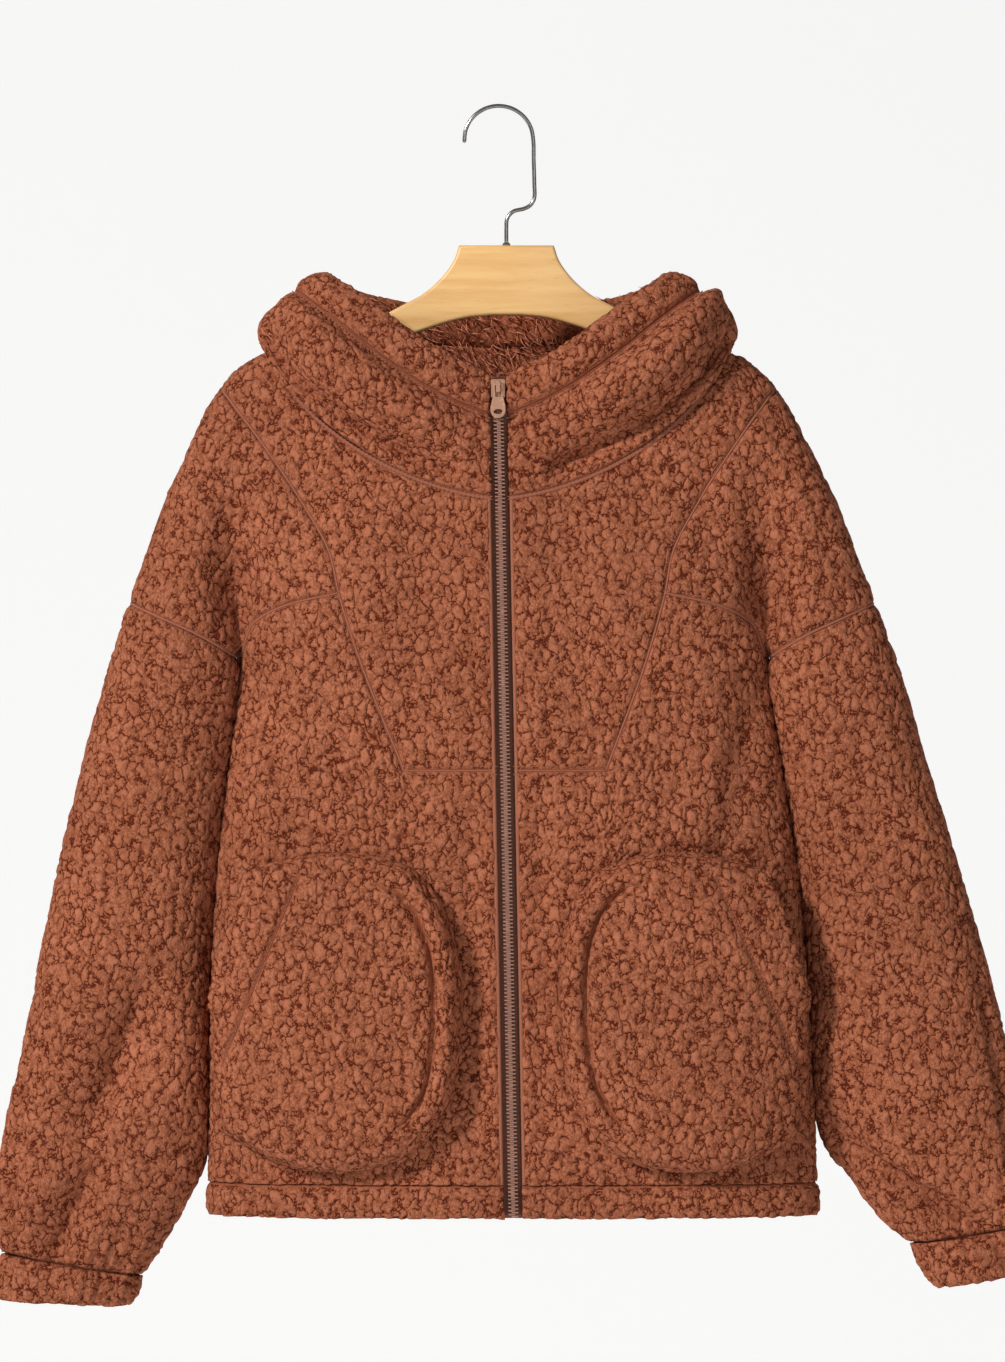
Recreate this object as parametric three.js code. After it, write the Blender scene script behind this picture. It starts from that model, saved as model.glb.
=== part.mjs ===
// A hooded zip-up jacket of thick curly fleece, hung on a wooden hanger with a wire hook.
// Sizes are in millimetres. +Z is up, -Y is the front of the jacket and +X its left sleeve as worn,
// which is on the right as seen from the front. The origin is the inside top of the wire hook.
import * as THREE from "three";

// Cloth and seams
const CLOTH = 4; // thickness of the fleece
const CLOTH_LEAST = 1.3; // what is left of it where it is pressed together at the armpit
const PRESSED_RATE = 0.06; // how fast it grows thicker away from there
const SEAM = 0.3; // how far each piece stays back from a seam line
const SIDE_GAP = 0.15; // how far front and back stay from the plane between them
const FULLNESS = 2.8; // exponent of the oval sections: 2 is an ellipse, more is flatter in front

// Heights of the main lines
const NECK_SIDE = -189;
const NECK_FRONT = -306;
const NECK_BACK = -212;
const YOKE_CORNER = -219;
const YOKE_JOIN = -379;
const YOKE_HEM = -516;
const SLEEVE_TOP = -386;
const ARMPIT = -428;
const HEM_SEAM = -836;
const HEM = -862;

// Widths
const NECK_HALF = 175;
const ARMPIT_HALF = 206;
const ZIP_HALF = 7; // from the middle of the zip to the fleece edge
const NECK_ROUND = 1.62; // exponent of the front neck curve

// The middle of the front drifts sideways from the neck to the hem, as the jacket hangs
const MIDDLE_AT_NECK = -2;
const MIDDLE_AT_HEM = 10.5;

// The outer line of the shoulder and upper sleeve, as half widths
const SHOULDER_LINE = [
  { z: -440, half: 308 },
  { z: -386, half: 291 },
  { z: -351, half: 278 },
  { z: -308, half: 262 },
  { z: -278, half: 248 },
  { z: -255, half: 237 },
  { z: -232, half: 225 },
  { z: -219, half: 216.5 },
  { z: -206, half: 205 },
  { z: -195, half: 190 },
  { z: -189, half: 175 },
];

// The trunk below the armpit, and how far front and back stand from the plane between them
const TRUNK = [
  { z: -862, half: 238, front: 50, back: 42 },
  { z: -700, half: 234, front: 54, back: 45 },
  { z: -580, half: 225, front: 55, back: 46 },
  { z: -500, half: 214, front: 54, back: 46 },
  { z: -428, half: 206, front: 52, back: 44 },
  { z: -306, half: 206, front: 48, back: 40 },
  { z: -189, half: 206, front: 42, back: 36 },
];

// The seam from the yoke's lower corner up to the shoulder line
const YOKE_SEAM = [
  { z: -516, half: 78 },
  { z: -427, half: 112 },
  { z: -379, half: 126 },
  { z: -350, half: 132 },
  { z: -308, half: 154 },
  { z: -257, half: 188 },
  { z: -219, half: 216.5 },
];

// The lower edge of the shoulder panel, from the yoke seam to the armpit
const SHOULDER_HEM = [
  { half: 126, z: -379 },
  { half: 165, z: -388 },
  { half: 195, z: -402 },
  { half: 206, z: -428 },
];

// Where the upper sleeve is set on, from the armpit outwards
const SLEEVE_SEAM = [
  { half: 206, z: -428 },
  { half: 230, z: -414 },
  { half: 260, z: -400 },
  { half: 291, z: -386 },
];

// The fold that runs up from the armpit, where the sleeve head turns to the trunk
const FOLD_TOP = -235;
const FOLD_SOFT = -370;
const FOLD_DEPTH = 0.85;
const FOLD_WIDTH = 20;
const SLEEVE_HEAD_DEPTH = 36;
const PINCH = 0.07;

// Sleeve sections from the armhole seam to the cuff: outer and inner edge as seen from the front
const SLEEVE_LEFT = [
  { at: 0.0, outX: -287, outZ: -386.5, inX: -203, inZ: -428.5, depth: 34 },
  { at: 0.11, outX: -305, outZ: -438, inX: -209.2, inZ: -481, depth: 37 },
  { at: 0.22, outX: -323, outZ: -501, inX: -216.5, inZ: -540, depth: 38 },
  { at: 0.34, outX: -342, outZ: -579, inX: -222.6, inZ: -602, depth: 38 },
  { at: 0.45, outX: -354, outZ: -637, inX: -226.2, inZ: -657, depth: 38 },
  { at: 0.56, outX: -365, outZ: -696, inX: -227.9, inZ: -711, depth: 38 },
  { at: 0.67, outX: -376, outZ: -750, inX: -228.4, inZ: -774, depth: 38 },
  { at: 0.77, outX: -386, outZ: -793, inX: -231.2, inZ: -813, depth: 37 },
  { at: 0.86, outX: -393, outZ: -832, inX: -242.5, inZ: -848, depth: 35 },
  { at: 0.93, outX: -395, outZ: -864, inX: -260, inZ: -879, depth: 31 },
  { at: 1.0, outX: -387, outZ: -892, inX: -281, inZ: -910, depth: 25 },
];
const SLEEVE_RIGHT = [
  { at: 0.0, outX: 295, outZ: -386.5, inX: 208, inZ: -428.5, depth: 34 },
  { at: 0.11, outX: 312, outZ: -438, inX: 216, inZ: -481, depth: 37 },
  { at: 0.22, outX: 330, outZ: -501, inX: 225.5, inZ: -540, depth: 38 },
  { at: 0.34, outX: 354, outZ: -579, inX: 234, inZ: -602, depth: 38 },
  { at: 0.45, outX: 371, outZ: -637, inX: 239.6, inZ: -657, depth: 38 },
  { at: 0.56, outX: 387, outZ: -696, inX: 243.3, inZ: -711, depth: 38 },
  { at: 0.67, outX: 401, outZ: -750, inX: 246, inZ: -768, depth: 38 },
  { at: 0.77, outX: 411, outZ: -791, inX: 255, inZ: -806, depth: 37 },
  { at: 0.86, outX: 419, outZ: -822, inX: 276, inZ: -836, depth: 35 },
  { at: 0.93, outX: 424, outZ: -846, inX: 295, inZ: -862, depth: 31 },
  { at: 1.0, outX: 421, outZ: -868, inX: 322, inZ: -885, depth: 25 },
];
const CUFF_LEFT = [
  { at: 0, outX: -387.5, outZ: -893, inX: -281.5, inZ: -911, depth: 25 },
  { at: 0.3, outX: -391, outZ: -905, inX: -283, inZ: -919, depth: 28 },
  { at: 1, outX: -392, outZ: -928, inX: -291, inZ: -934, depth: 27 },
];
const CUFF_RIGHT = [
  { at: 0, outX: 421.5, outZ: -869, inX: 322.5, inZ: -886, depth: 25 },
  { at: 0.3, outX: 427, outZ: -879, inX: 327, inZ: -897, depth: 28 },
  { at: 1, outX: 436, outZ: -902, inX: 341, inZ: -920, depth: 27 },
];
const SLEEVE_ROWS = 15;
const CUFF_ROWS = 3;
const CUFF_CLOTH = 6;
const GATHERS = 9; // soft waves round the sleeve above the cuff
const GATHER_DEPTH = 3.2;
const GATHER_FROM = 0.7;

// The longest folds of each sleeve, on its front: where they start and end, as shares of the
// sleeve's length and turns round the tube from the outer edge
const SLEEVE_FOLDS = [
  { side: -1, at0: 0.52, turn0: 0.3, at1: 0.8, turn1: 0.2, deep: 9, wide: 0.05 },
  { side: -1, at0: 0.8, turn0: 0.25, at1: 1.0, turn1: 0.2, deep: 8, wide: 0.035 },
  { side: -1, at0: 0.6, turn0: 0.07, at1: 1.0, turn1: 0.1, deep: 4, wide: 0.02 },
  { side: -1, at0: 0.6, turn0: 0.72, at1: 0.98, turn1: 0.78, deep: 7, wide: 0.045 },
  { side: 1, at0: 0.74, turn0: 0.42, at1: 1.0, turn1: 0.27, deep: 9, wide: 0.04 },
  { side: 1, at0: 0.55, turn0: 0.09, at1: 0.95, turn1: 0.12, deep: 4, wide: 0.02 },
  { side: 1, at0: 0.62, turn0: 0.75, at1: 0.98, turn1: 0.7, deep: 7, wide: 0.045 },
];

// Counts along the shared seams, so that pieces on both sides have the same points
const CELLS = {
  yokeBottom: 5,
  yokeLow: 5,
  yokeHigh: 11,
  shoulderHem: 7,
  frontRows: 12,
  zipEdge: 7,
  neck: 9,
  backRows: 11,
  backUpper: 10,
  bandRows: 2,
  hoodRows: 10,
  hemRound: 12,
};

// The hood as it lies: from the zip (0) over the shoulder (0.5) to the middle of the back (1).
// rim: the face edge. o1 to o4 and u1 to u4: how far four points of the section stand outwards and
// upwards of the straight line from the neck seam to the rim.
const HOOD = [
  { f: 0, rimHalf: 7, rimY: -51, rimZ: -211, o1: 0, o2: 0, o3: 0, o4: 0, u1: 0, u2: 0, u3: 0, u4: 0 },
  { f: 0.12, rimHalf: 34, rimY: -54, rimZ: -197, o1: 3, o2: 5, o3: 6, o4: 4, u1: 0, u2: 0, u3: 0, u4: 0 },
  { f: 0.25, rimHalf: 70, rimY: -51, rimZ: -173, o1: 13, o2: 19, o3: 16, o4: 8, u1: -6, u2: -6, u3: -2, u4: 0 },
  { f: 0.38, rimHalf: 104, rimY: -37, rimZ: -147, o1: 20, o2: 27, o3: 24, o4: 12, u1: -9, u2: -9, u3: -3, u4: 0 },
  { f: 0.5, rimHalf: 131, rimY: -7, rimZ: -128, o1: 20, o2: 26, o3: 20, o4: 15, u1: -2, u2: -1, u3: 1, u4: 2 },
  { f: 0.62, rimHalf: 131, rimY: 29, rimZ: -130, o1: 16, o2: 28, o3: 32, o4: 20, u1: -8, u2: -36, u3: -48, u4: -24 },
  { f: 0.75, rimHalf: 106, rimY: 62, rimZ: -140, o1: 6, o2: 10, o3: 30, o4: 26, u1: -8, u2: -118, u3: -165, u4: -95 },
  { f: 0.88, rimHalf: 57, rimY: 84, rimZ: -148, o1: 2, o2: 2, o3: 26, o4: 28, u1: -8, u2: -150, u3: -222, u4: -132 },
  { f: 1, rimHalf: 0, rimY: 92, rimZ: -151, o1: 1, o2: 0, o3: 22, o4: 28, u1: -8, u2: -155, u3: -238, u4: -140 },
];
const HOOD_BAND = 30; // depth of the stitched band along the face edge
const HOOD_BAND_PROUD = 1.5;
const HOOD_BAND_THICK = 6.5;

// Pocket outline on the front, from the top of its slanted opening round to the same point
const POCKET_TOP = [
  { half: 52, z: -614 },
  { half: 76, z: -590 },
  { half: 112, z: -580 },
  { half: 155, z: -580 },
  { half: 198, z: -592 },
];
const POCKET_INNER = [
  { half: 62, z: -796 },
  { half: 45, z: -765 },
  { half: 37, z: -705 },
  { half: 40, z: -650 },
  { half: 52, z: -614 },
];
const POCKET_BOTTOM = [
  { half: 62, z: -796 },
  { half: 88, z: -817 },
  { half: 130, z: -826 },
  { half: 175, z: -821 },
  { half: 222, z: -798 },
];
const POCKET_SIDE = [
  { half: 222, z: -798 },
  { half: 229, z: -755 },
  { half: 229, z: -712 },
  { half: 214, z: -650 },
  { half: 198, z: -592 },
];
const POCKET_STAND = 20; // how far the pocket's inside stands off the front
const POCKET_EDGE_STAND = 0.4;
const POCKET_MOUTH_STAND = 24;
const POCKET_ROLL = 0.13; // share of the pocket over which its edge rises
const POCKET_MOUTH_FROM = 0.42; // share of its side where the open part starts
const POCKET_FORWARD = 0.35; // how much of the front's sideways slope the pocket keeps as it stands off
const POCKET_SIDE_GAP = 9; // how far the pocket stays inside the side of the trunk
const POCKET_CELLS = { across: 9, up: 9 };

// Hem band
const HEM_PROUD = 1.5;
const HEM_INSIDE = 5.5;

// Zip
const TAPE = { from: 0.15, to: 15, behind: 5.9, thick: 1 };
const CHAIN = { half: 3.4, front: 0.8, back: 5.6 };
const CHAIN_TOP = -229;
const ZIP_CELLS = { below: 14, above: 3 };
const SLIDER = { half: 5.4, top: -214, bottom: -228.6, proud: 2, back: 5.6 };
const BRIDGE = { half: 1.5, top: -215.2, bottom: -224.5, reach: 4.4, bar: 1.2 };
const PULL = { pivotZ: -218.4, pivotOut: 1.55, thick: 1.6, narrow: 3.6, wide: 5.8, length: 26, slot: 2.3 };
const PULL_SLOT_LENGTH = 9.5;
const PULL_HOLE = { half: 3.4, down: 21 };

// Hanger
const HANGER_X = 5;
const HANGER_THICK = 13;
const HANGER_ROUND = 1.5;
const HANGER_TOP = -107.5;
const HANGER_TOP_HALF = 37;
const HANGER_NECK = [
  { x: 37, z: -107.5 },
  { x: 41, z: -119 },
  { x: 47.6, z: -129 },
  { x: 56, z: -138 },
  { x: 66, z: -146 },
  { x: 80, z: -153.5 },
  { x: 97, z: -162.5 },
  { x: 130, z: -178 },
  { x: 162, z: -197 },
];
const HANGER_UNDER = [
  { x: 206, z: -228 },
  { x: 180, z: -219 },
  { x: 130, z: -199.5 },
  { x: 96, z: -186 },
  { x: 75, z: -177.5 },
  { x: 57, z: -171 },
  { x: 32, z: -164 },
  { x: 12, z: -161.8 },
];
const HANGER_SEAT = [172, 182, 192, 202]; // where the arms carry the shoulders
const HANGER_TIP = { x: 209, drop: 9 };
const SEAT_LOWEST = -262;
const SEAT_CLEARANCE = 3.4;

// Hook
const WIRE = 1.6; // radius
const HOOK_BEND = { x: -1, radius: 27 };
const HOOK_TIP_ANGLE = 184; // degrees round from the leg side
const HOOK_LEG = 26;
const HOOK_STEPS = 56;
const HOOK_SIDES = 8;
const FERRULE = { radius: 3.2, height: 2.4 };

// Colours
const FLEECE = new THREE.MeshStandardMaterial({ color: 0xa05c3f, roughness: 0.95, metalness: 0 });
const ZIP_TAPE = new THREE.MeshStandardMaterial({ color: 0x8a5a44, roughness: 0.85, metalness: 0 });
const ZIP_TEETH = new THREE.MeshStandardMaterial({ color: 0x9c7260, roughness: 0.45, metalness: 0 });
const ZIP_PULL = new THREE.MeshStandardMaterial({ color: 0xb78a6e, roughness: 0.4, metalness: 0.1 });
const BEECH = new THREE.MeshStandardMaterial({ color: 0xf0c283, roughness: 0.55, metalness: 0 });
const STEEL = new THREE.MeshStandardMaterial({ color: 0xb8b4ac, roughness: 0.3, metalness: 1 });

// Interpolation

function mix(a, b, t) {
  return a + (b - a) * t;
}

function smooth(t) {
  const c = THREE.MathUtils.clamp(t, 0, 1);
  return c * c * (3 - 2 * c);
}

// A smooth curve through a table's rows that never overshoots them.
function reader(rows, key, value) {
  const sorted = [...rows].sort((a, b) => a[key] - b[key]);
  const x = sorted.map((row) => row[key]);
  const y = sorted.map((row) => row[value]);
  const slope = x.slice(1).map((_, i) => (y[i + 1] - y[i]) / (x[i + 1] - x[i]));
  const tangent = x.map((_, i) => {
    if (i === 0) return slope[0];
    if (i === x.length - 1) return slope[i - 1];
    if (slope[i - 1] * slope[i] <= 0) return 0;
    return (2 * slope[i - 1] * slope[i]) / (slope[i - 1] + slope[i]);
  });
  return (at) => {
    const a = THREE.MathUtils.clamp(at, x[0], x[x.length - 1]);
    let i = 0;
    while (i < x.length - 2 && a > x[i + 1]) i += 1;
    const width = x[i + 1] - x[i];
    const t = (a - x[i]) / width;
    const t2 = t * t;
    const t3 = t2 * t;
    return (
      y[i] * (2 * t3 - 3 * t2 + 1) +
      tangent[i] * width * (t3 - 2 * t2 + t) +
      y[i + 1] * (3 * t2 - 2 * t3) +
      tangent[i + 1] * width * (t3 - t2)
    );
  };
}

const shoulderHalf = reader(SHOULDER_LINE, "z", "half");
const trunkHalf = reader(TRUNK, "z", "half");
const frontDepth = reader(TRUNK, "z", "front");
const backDepth = reader(TRUNK, "z", "back");
const yokeHalf = reader(YOKE_SEAM, "z", "half");
const shoulderHemZ = reader(SHOULDER_HEM, "half", "z");
const sleeveSeamZ = reader(SLEEVE_SEAM, "half", "z");

function middle(z) {
  const t = THREE.MathUtils.clamp((z - NECK_SIDE) / (HEM - NECK_SIDE), 0, 1);
  return mix(MIDDLE_AT_NECK, MIDDLE_AT_HEM, t);
}

// The trunk's surface

function lobe(p) {
  const inside = 1 - Math.pow(Math.min(Math.abs(p), 0.999999), FULLNESS);
  return Math.pow(inside, 1 / FULLNESS);
}

// How much of the full depth is left at a point: less in the fold above the armpit.
function fold(half, z) {
  const outer = shoulderHalf(z);
  const share = half / outer;
  const centre = (ARMPIT_HALF + outer) / 2;
  const reach = (outer - ARMPIT_HALF) / 2;
  const head = (SLEEVE_HEAD_DEPTH / frontDepth(z)) * lobe((half - centre) / reach);
  const pinched = (half < ARMPIT_HALF ? lobe(half / ARMPIT_HALF) : head) / lobe(share);
  const valley = FOLD_DEPTH * smooth((FOLD_TOP - z) / (FOLD_TOP - ARMPIT));
  const soft = 1 - valley * Math.exp(-(((half - ARMPIT_HALF) / FOLD_WIDTH) ** 2));
  const above = smooth((z - ARMPIT) / (FOLD_SOFT - ARMPIT));
  return mix(Math.max(pinched, PINCH), soft, above);
}

function section(half, z, depthAt) {
  const upper = z > ARMPIT;
  return {
    width: upper ? shoulderHalf(z) : trunkHalf(z),
    depth: depthAt(z) * (upper ? fold(Math.min(half, shoulderHalf(z)), z) : 1),
  };
}

// Zero on the surface, more outside it.
function level(half, y, z, depthAt) {
  const s = section(half, z, depthAt);
  return Math.pow(half / s.width, FULLNESS) + Math.pow(y / s.depth, FULLNESS) - 1;
}

// A point of the front (face -1) or back (face 1) and the direction out of the cloth.
function onTrunk(side, half, z, face) {
  const depthAt = face < 0 ? frontDepth : backDepth;
  const s = section(half, z, depthAt);
  const y = s.depth * lobe(half / s.width);
  const step = 0.5;
  const away = Math.max(half, step);
  const normal = new THREE.Vector3(
    side * (level(away + step, y, z, depthAt) - level(away - step, y, z, depthAt)),
    face * (level(half, y + step, z, depthAt) - level(half, Math.max(y - step, 0), z, depthAt)),
    level(half, y, z + step, depthAt) - level(half, y, z - step, depthAt),
  );
  if (half < 2 * step) normal.x *= half / (2 * step);
  if (y < step) normal.y = 0;
  return {
    point: new THREE.Vector3(middle(z) + side * half, face * Math.max(y, SIDE_GAP), z),
    normal: normal.normalize(),
    face,
  };
}

// Keeps a point on its own side of the plane between front and back.
function held(point, face) {
  if (face && point.y * face < SIDE_GAP) point.y = face * SIDE_GAP;
  return point;
}

function outwards(place, distance) {
  return held(place.point.clone().addScaledVector(place.normal, distance), place.face);
}

// Grids and walls

// Fills a patch from its four edges, given as rows of [half, z] with equal counts opposite.
function fill(bottom, top, left, right) {
  const across = bottom.length - 1;
  const up = left.length - 1;
  return left.map((_, j) =>
    bottom.map((_, i) => {
      const s = i / across;
      const t = j / up;
      return [0, 1].map((k) => {
        const edges = mix(bottom[i][k], top[i][k], t) + mix(left[j][k], right[j][k], s);
        const low = mix(bottom[0][k], bottom[across][k], s);
        const high = mix(top[0][k], top[across][k], s);
        return edges - mix(low, high, t);
      });
    }),
  );
}

// Draws the named edges of a patch back from their seams. Each point keeps its place on the seam
// too, as its last two numbers, so that the cut edges of two neighbours stay parallel.
function pullBack(grid, edges) {
  const moved = grid.map((row) => row.map((p) => [...p, ...p]));
  const rows = grid.length - 1;
  const columns = grid[0].length - 1;
  const towards = (from, to) => {
    const length = Math.hypot(to[0] - from[0], to[1] - from[1]);
    return [(to[0] - from[0]) / length, (to[1] - from[1]) / length];
  };
  const shift = (point, here, next, before, after) => {
    const [dx, dz] = towards(here, next);
    const [tx, tz] = towards(before, after);
    const length = SEAM / Math.max(Math.abs(dx * tz - dz * tx), 0.3);
    point[0] += length * dx;
    point[1] += length * dz;
  };
  for (let j = 0; j <= columns; j += 1) {
    const [a, b] = [Math.max(j - 1, 0), Math.min(j + 1, columns)];
    for (const [name, i, k] of [["bottom", 0, 1], ["top", rows, rows - 1]]) {
      if (edges.includes(name)) shift(moved[i][j], grid[i][j], grid[k][j], grid[i][a], grid[i][b]);
    }
  }
  for (let i = 0; i <= rows; i += 1) {
    const [a, b] = [Math.max(i - 1, 0), Math.min(i + 1, rows)];
    for (const [name, j, k] of [["left", 0, 1], ["right", columns, columns - 1]]) {
      if (edges.includes(name)) shift(moved[i][j], grid[i][j], grid[i][k], grid[a][j], grid[b][j]);
    }
  }
  return moved;
}

// A closed wall from patches of {outer, inner} points. Patches that touch share their points.
function wall(patches) {
  const outer = [];
  const inner = [];
  const known = new Map();
  const quads = [];
  const number = (o, n) => {
    const name = o.toArray().map((c) => Math.round(c * 50)).join(" ");
    if (!known.has(name)) {
      known.set(name, outer.length);
      outer.push(o);
      inner.push(n);
    }
    return known.get(name);
  };
  for (const { grid, flip } of patches) {
    const ids = grid.map((row) => row.map((p) => number(p.outer, p.inner)));
    for (let j = 0; j < ids.length - 1; j += 1) {
      for (let i = 0; i < ids[j].length - 1; i += 1) {
        const quad = [ids[j][i], ids[j][i + 1], ids[j + 1][i + 1], ids[j + 1][i]];
        quads.push(flip ? quad.reverse() : quad);
      }
    }
  }
  const total = outer.length;
  const triangles = [];
  const open = new Map();
  for (const quad of quads) {
    const [a, b, c, d] = quad;
    triangles.push([a, b, c], [a, c, d]);
    triangles.push([c + total, b + total, a + total], [d + total, c + total, a + total]);
    quad.forEach((from, k) => {
      const to = quad[(k + 1) % 4];
      if (open.has(`${to} ${from}`)) open.delete(`${to} ${from}`);
      else open.set(`${from} ${to}`, [from, to]);
    });
  }
  for (const [from, to] of open.values()) {
    triangles.push([to, from, from + total], [to, from + total, to + total]);
  }
  return solid([...outer, ...inner], triangles);
}

// A geometry from points and triangles, turned to face outwards.
function solid(points, triangles) {
  let volume = 0;
  for (const [a, b, c] of triangles) {
    volume += points[a].dot(new THREE.Vector3().crossVectors(points[b], points[c]));
  }
  const facing = volume < 0 ? triangles.map(([a, b, c]) => [a, c, b]) : triangles;
  const geometry = new THREE.BufferGeometry();
  geometry.setAttribute(
    "position",
    new THREE.Float32BufferAttribute(points.flatMap((p) => p.toArray()), 3),
  );
  geometry.setIndex(facing.flat());
  geometry.computeVertexNormals();
  return geometry;
}

// Lays a patch of [half, z] on the trunk as a wall.
function laid(grid, side, face) {
  return grid.map((row) =>
    row.map(([half, z, seamHalf, seamZ]) => {
      const { point } = onTrunk(side, half, z, face);
      const { normal } = onTrunk(side, seamHalf, seamZ, face);
      const place = { point, normal, face };
      return { outer: point, inner: outwards(place, -room(place)) };
    }),
  );
}

// The thickness of the cloth, less where it is pressed together at the armpit.
function room({ point, normal }) {
  const free = (Math.abs(point.y) - SIDE_GAP) / Math.max(Math.abs(normal.y), 0.01);
  const half = Math.abs(point.x - middle(point.z));
  const pressed = CLOTH_LEAST + PRESSED_RATE * Math.hypot(half - ARMPIT_HALF, point.z - ARMPIT);
  return THREE.MathUtils.clamp(Math.min(free, pressed), CLOTH_LEAST, CLOTH);
}

function steps(count) {
  return Array.from({ length: count + 1 }, (_, i) => i / count);
}

// Spacing that closes up towards 1, where the cloth turns round the side.
function towardsSide(t) {
  return Math.pow(Math.sin((t * Math.PI) / 2), 2 / FULLNESS);
}

// The same, more evenly, where the cloth turns over the shoulder.
function towardsTop(t) {
  return Math.sin((t * Math.PI) / 2);
}

// Seam lines as rows of [half, z]

const zipToNeck = steps(CELLS.zipEdge).map((t) => [ZIP_HALF, mix(YOKE_HEM, NECK_FRONT, t)]);

function neckPoint(angle, drop, round) {
  return [
    NECK_HALF * Math.pow(Math.sin(angle), 2 / round),
    NECK_SIDE - drop * Math.pow(Math.max(Math.cos(angle), 0), 2 / round),
  ];
}

const NECK_START = Math.asin(Math.pow(ZIP_HALF / NECK_HALF, NECK_ROUND / 2));
const neckShares = steps(CELLS.neck).map(towardsTop);
const frontNeck = neckShares.map((share) =>
  neckPoint(mix(NECK_START, Math.PI / 2, share), NECK_SIDE - NECK_FRONT, NECK_ROUND),
);
const backNeck = neckShares.map((share) =>
  neckPoint((share * Math.PI) / 2, NECK_SIDE - NECK_BACK, 2),
);

function onShoulderLine(from, to, count) {
  return steps(count).map((t) => {
    const z = mix(from, to, t);
    return [shoulderHalf(z), z];
  });
}

function upYokeSeam(from, to, shares) {
  return shares.map((share) => {
    const z = mix(from, to, share);
    return [yokeHalf(z), z];
  });
}

const yokeBottom = steps(CELLS.yokeBottom).map((t) => [mix(ZIP_HALF, yokeHalf(YOKE_HEM), t), YOKE_HEM]);
const yokeLow = upYokeSeam(YOKE_HEM, YOKE_JOIN, steps(CELLS.yokeLow));
const yokeHigh = upYokeSeam(YOKE_JOIN, YOKE_CORNER, steps(CELLS.yokeHigh).map(towardsTop));
const shoulderHem = steps(CELLS.shoulderHem).map((t) => {
  const half = mix(yokeHalf(YOKE_JOIN), ARMPIT_HALF, towardsSide(t));
  return [half, shoulderHemZ(half)];
});
const sleeveSeam = steps(CELLS.yokeHigh).map((t) => {
  const share = (1 - Math.cos(t * Math.PI)) / 2;
  const z = mix(ARMPIT, SLEEVE_TOP, share);
  const half = mix(ARMPIT_HALF, shoulderHalf(SLEEVE_TOP), share);
  return share < 1 ? [half, sleeveSeamZ(half)] : [half, z];
});

// Front and back panels

function yoke(side) {
  const left = [...zipToNeck, ...frontNeck.slice(1)];
  const right = [...yokeLow, ...yokeHigh.slice(1)];
  const top = onShoulderLine(NECK_SIDE, YOKE_CORNER, CELLS.yokeBottom);
  const grid = pullBack(fill(yokeBottom, top, left, right), ["left", "right", "bottom"]);
  return wall([{ grid: laid(grid, side, -1) }]);
}

function shoulder(side) {
  const top = onShoulderLine(YOKE_CORNER, SLEEVE_TOP, CELLS.shoulderHem);
  const grid = pullBack(fill(shoulderHem, top, yokeHigh, sleeveSeam), ["left", "right", "bottom"]);
  return wall([{ grid: laid(grid, side, -1) }]);
}

const frontTop = [...yokeBottom, ...yokeLow.slice(1), ...shoulderHem.slice(1)];
const frontBottom = steps(frontTop.length - 1).map((t) => [
  mix(ZIP_HALF, trunkHalf(HEM_SEAM), towardsSide(t)),
  HEM_SEAM,
]);

function frontPanel(side) {
  const left = steps(CELLS.frontRows).map((t) => [ZIP_HALF, mix(HEM_SEAM, YOKE_HEM, t)]);
  const right = steps(CELLS.frontRows).map((t) => {
    const z = mix(HEM_SEAM, ARMPIT, t);
    return [trunkHalf(z), z];
  });
  const grid = pullBack(fill(frontBottom, frontTop, left, right), ["left", "top", "bottom"]);
  return wall([{ grid: laid(grid, side, -1) }]);
}

// One back panel from hem to neck and out to the sleeve seams, from three patches on each side.
function backPatches(side) {
  const hem = steps(CELLS.neck).map((t) => [trunkHalf(HEM_SEAM) * towardsSide(t), HEM_SEAM]);
  const chest = steps(CELLS.neck).map((t) => [ARMPIT_HALF * towardsSide(t), ARMPIT]);
  const sideSeam = steps(CELLS.backRows).map((t) => {
    const z = mix(HEM_SEAM, ARMPIT, t);
    return [trunkHalf(z), z];
  });
  const lowMiddle = steps(CELLS.backRows).map((t) => [0, mix(HEM_SEAM, ARMPIT, t)]);
  const upper = steps(CELLS.backUpper).map(towardsTop);
  const highMiddle = upper.map((share) => [0, mix(ARMPIT, NECK_BACK, share)]);
  const toNeck = upper.map((share) => [
    mix(ARMPIT_HALF, NECK_HALF, share),
    mix(ARMPIT, NECK_SIDE, share),
  ]);
  const shoulderTop = onShoulderLine(NECK_SIDE, YOKE_CORNER, CELLS.yokeHigh);
  const shoulderSide = onShoulderLine(SLEEVE_TOP, YOKE_CORNER, CELLS.backUpper);
  const low = pullBack(fill(hem, chest, lowMiddle, sideSeam), ["bottom"]);
  const high = pullBack(fill(chest, backNeck, highMiddle, toNeck), ["top"]);
  const armhole = pullBack(fill(sleeveSeam, shoulderTop, toNeck, shoulderSide), ["bottom"]);
  low[low.length - 1][CELLS.neck] = armhole[0][0];
  high[0][CELLS.neck] = armhole[0][0];
  high[high.length - 1][CELLS.neck] = armhole[armhole.length - 1][0];
  return [low, high, armhole].map((grid) => ({ grid: laid(grid, side, 1), flip: side > 0 }));
}

function backPanel() {
  return wall([...backPatches(-1), ...backPatches(1)]);
}

// Sleeves and cuffs

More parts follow.
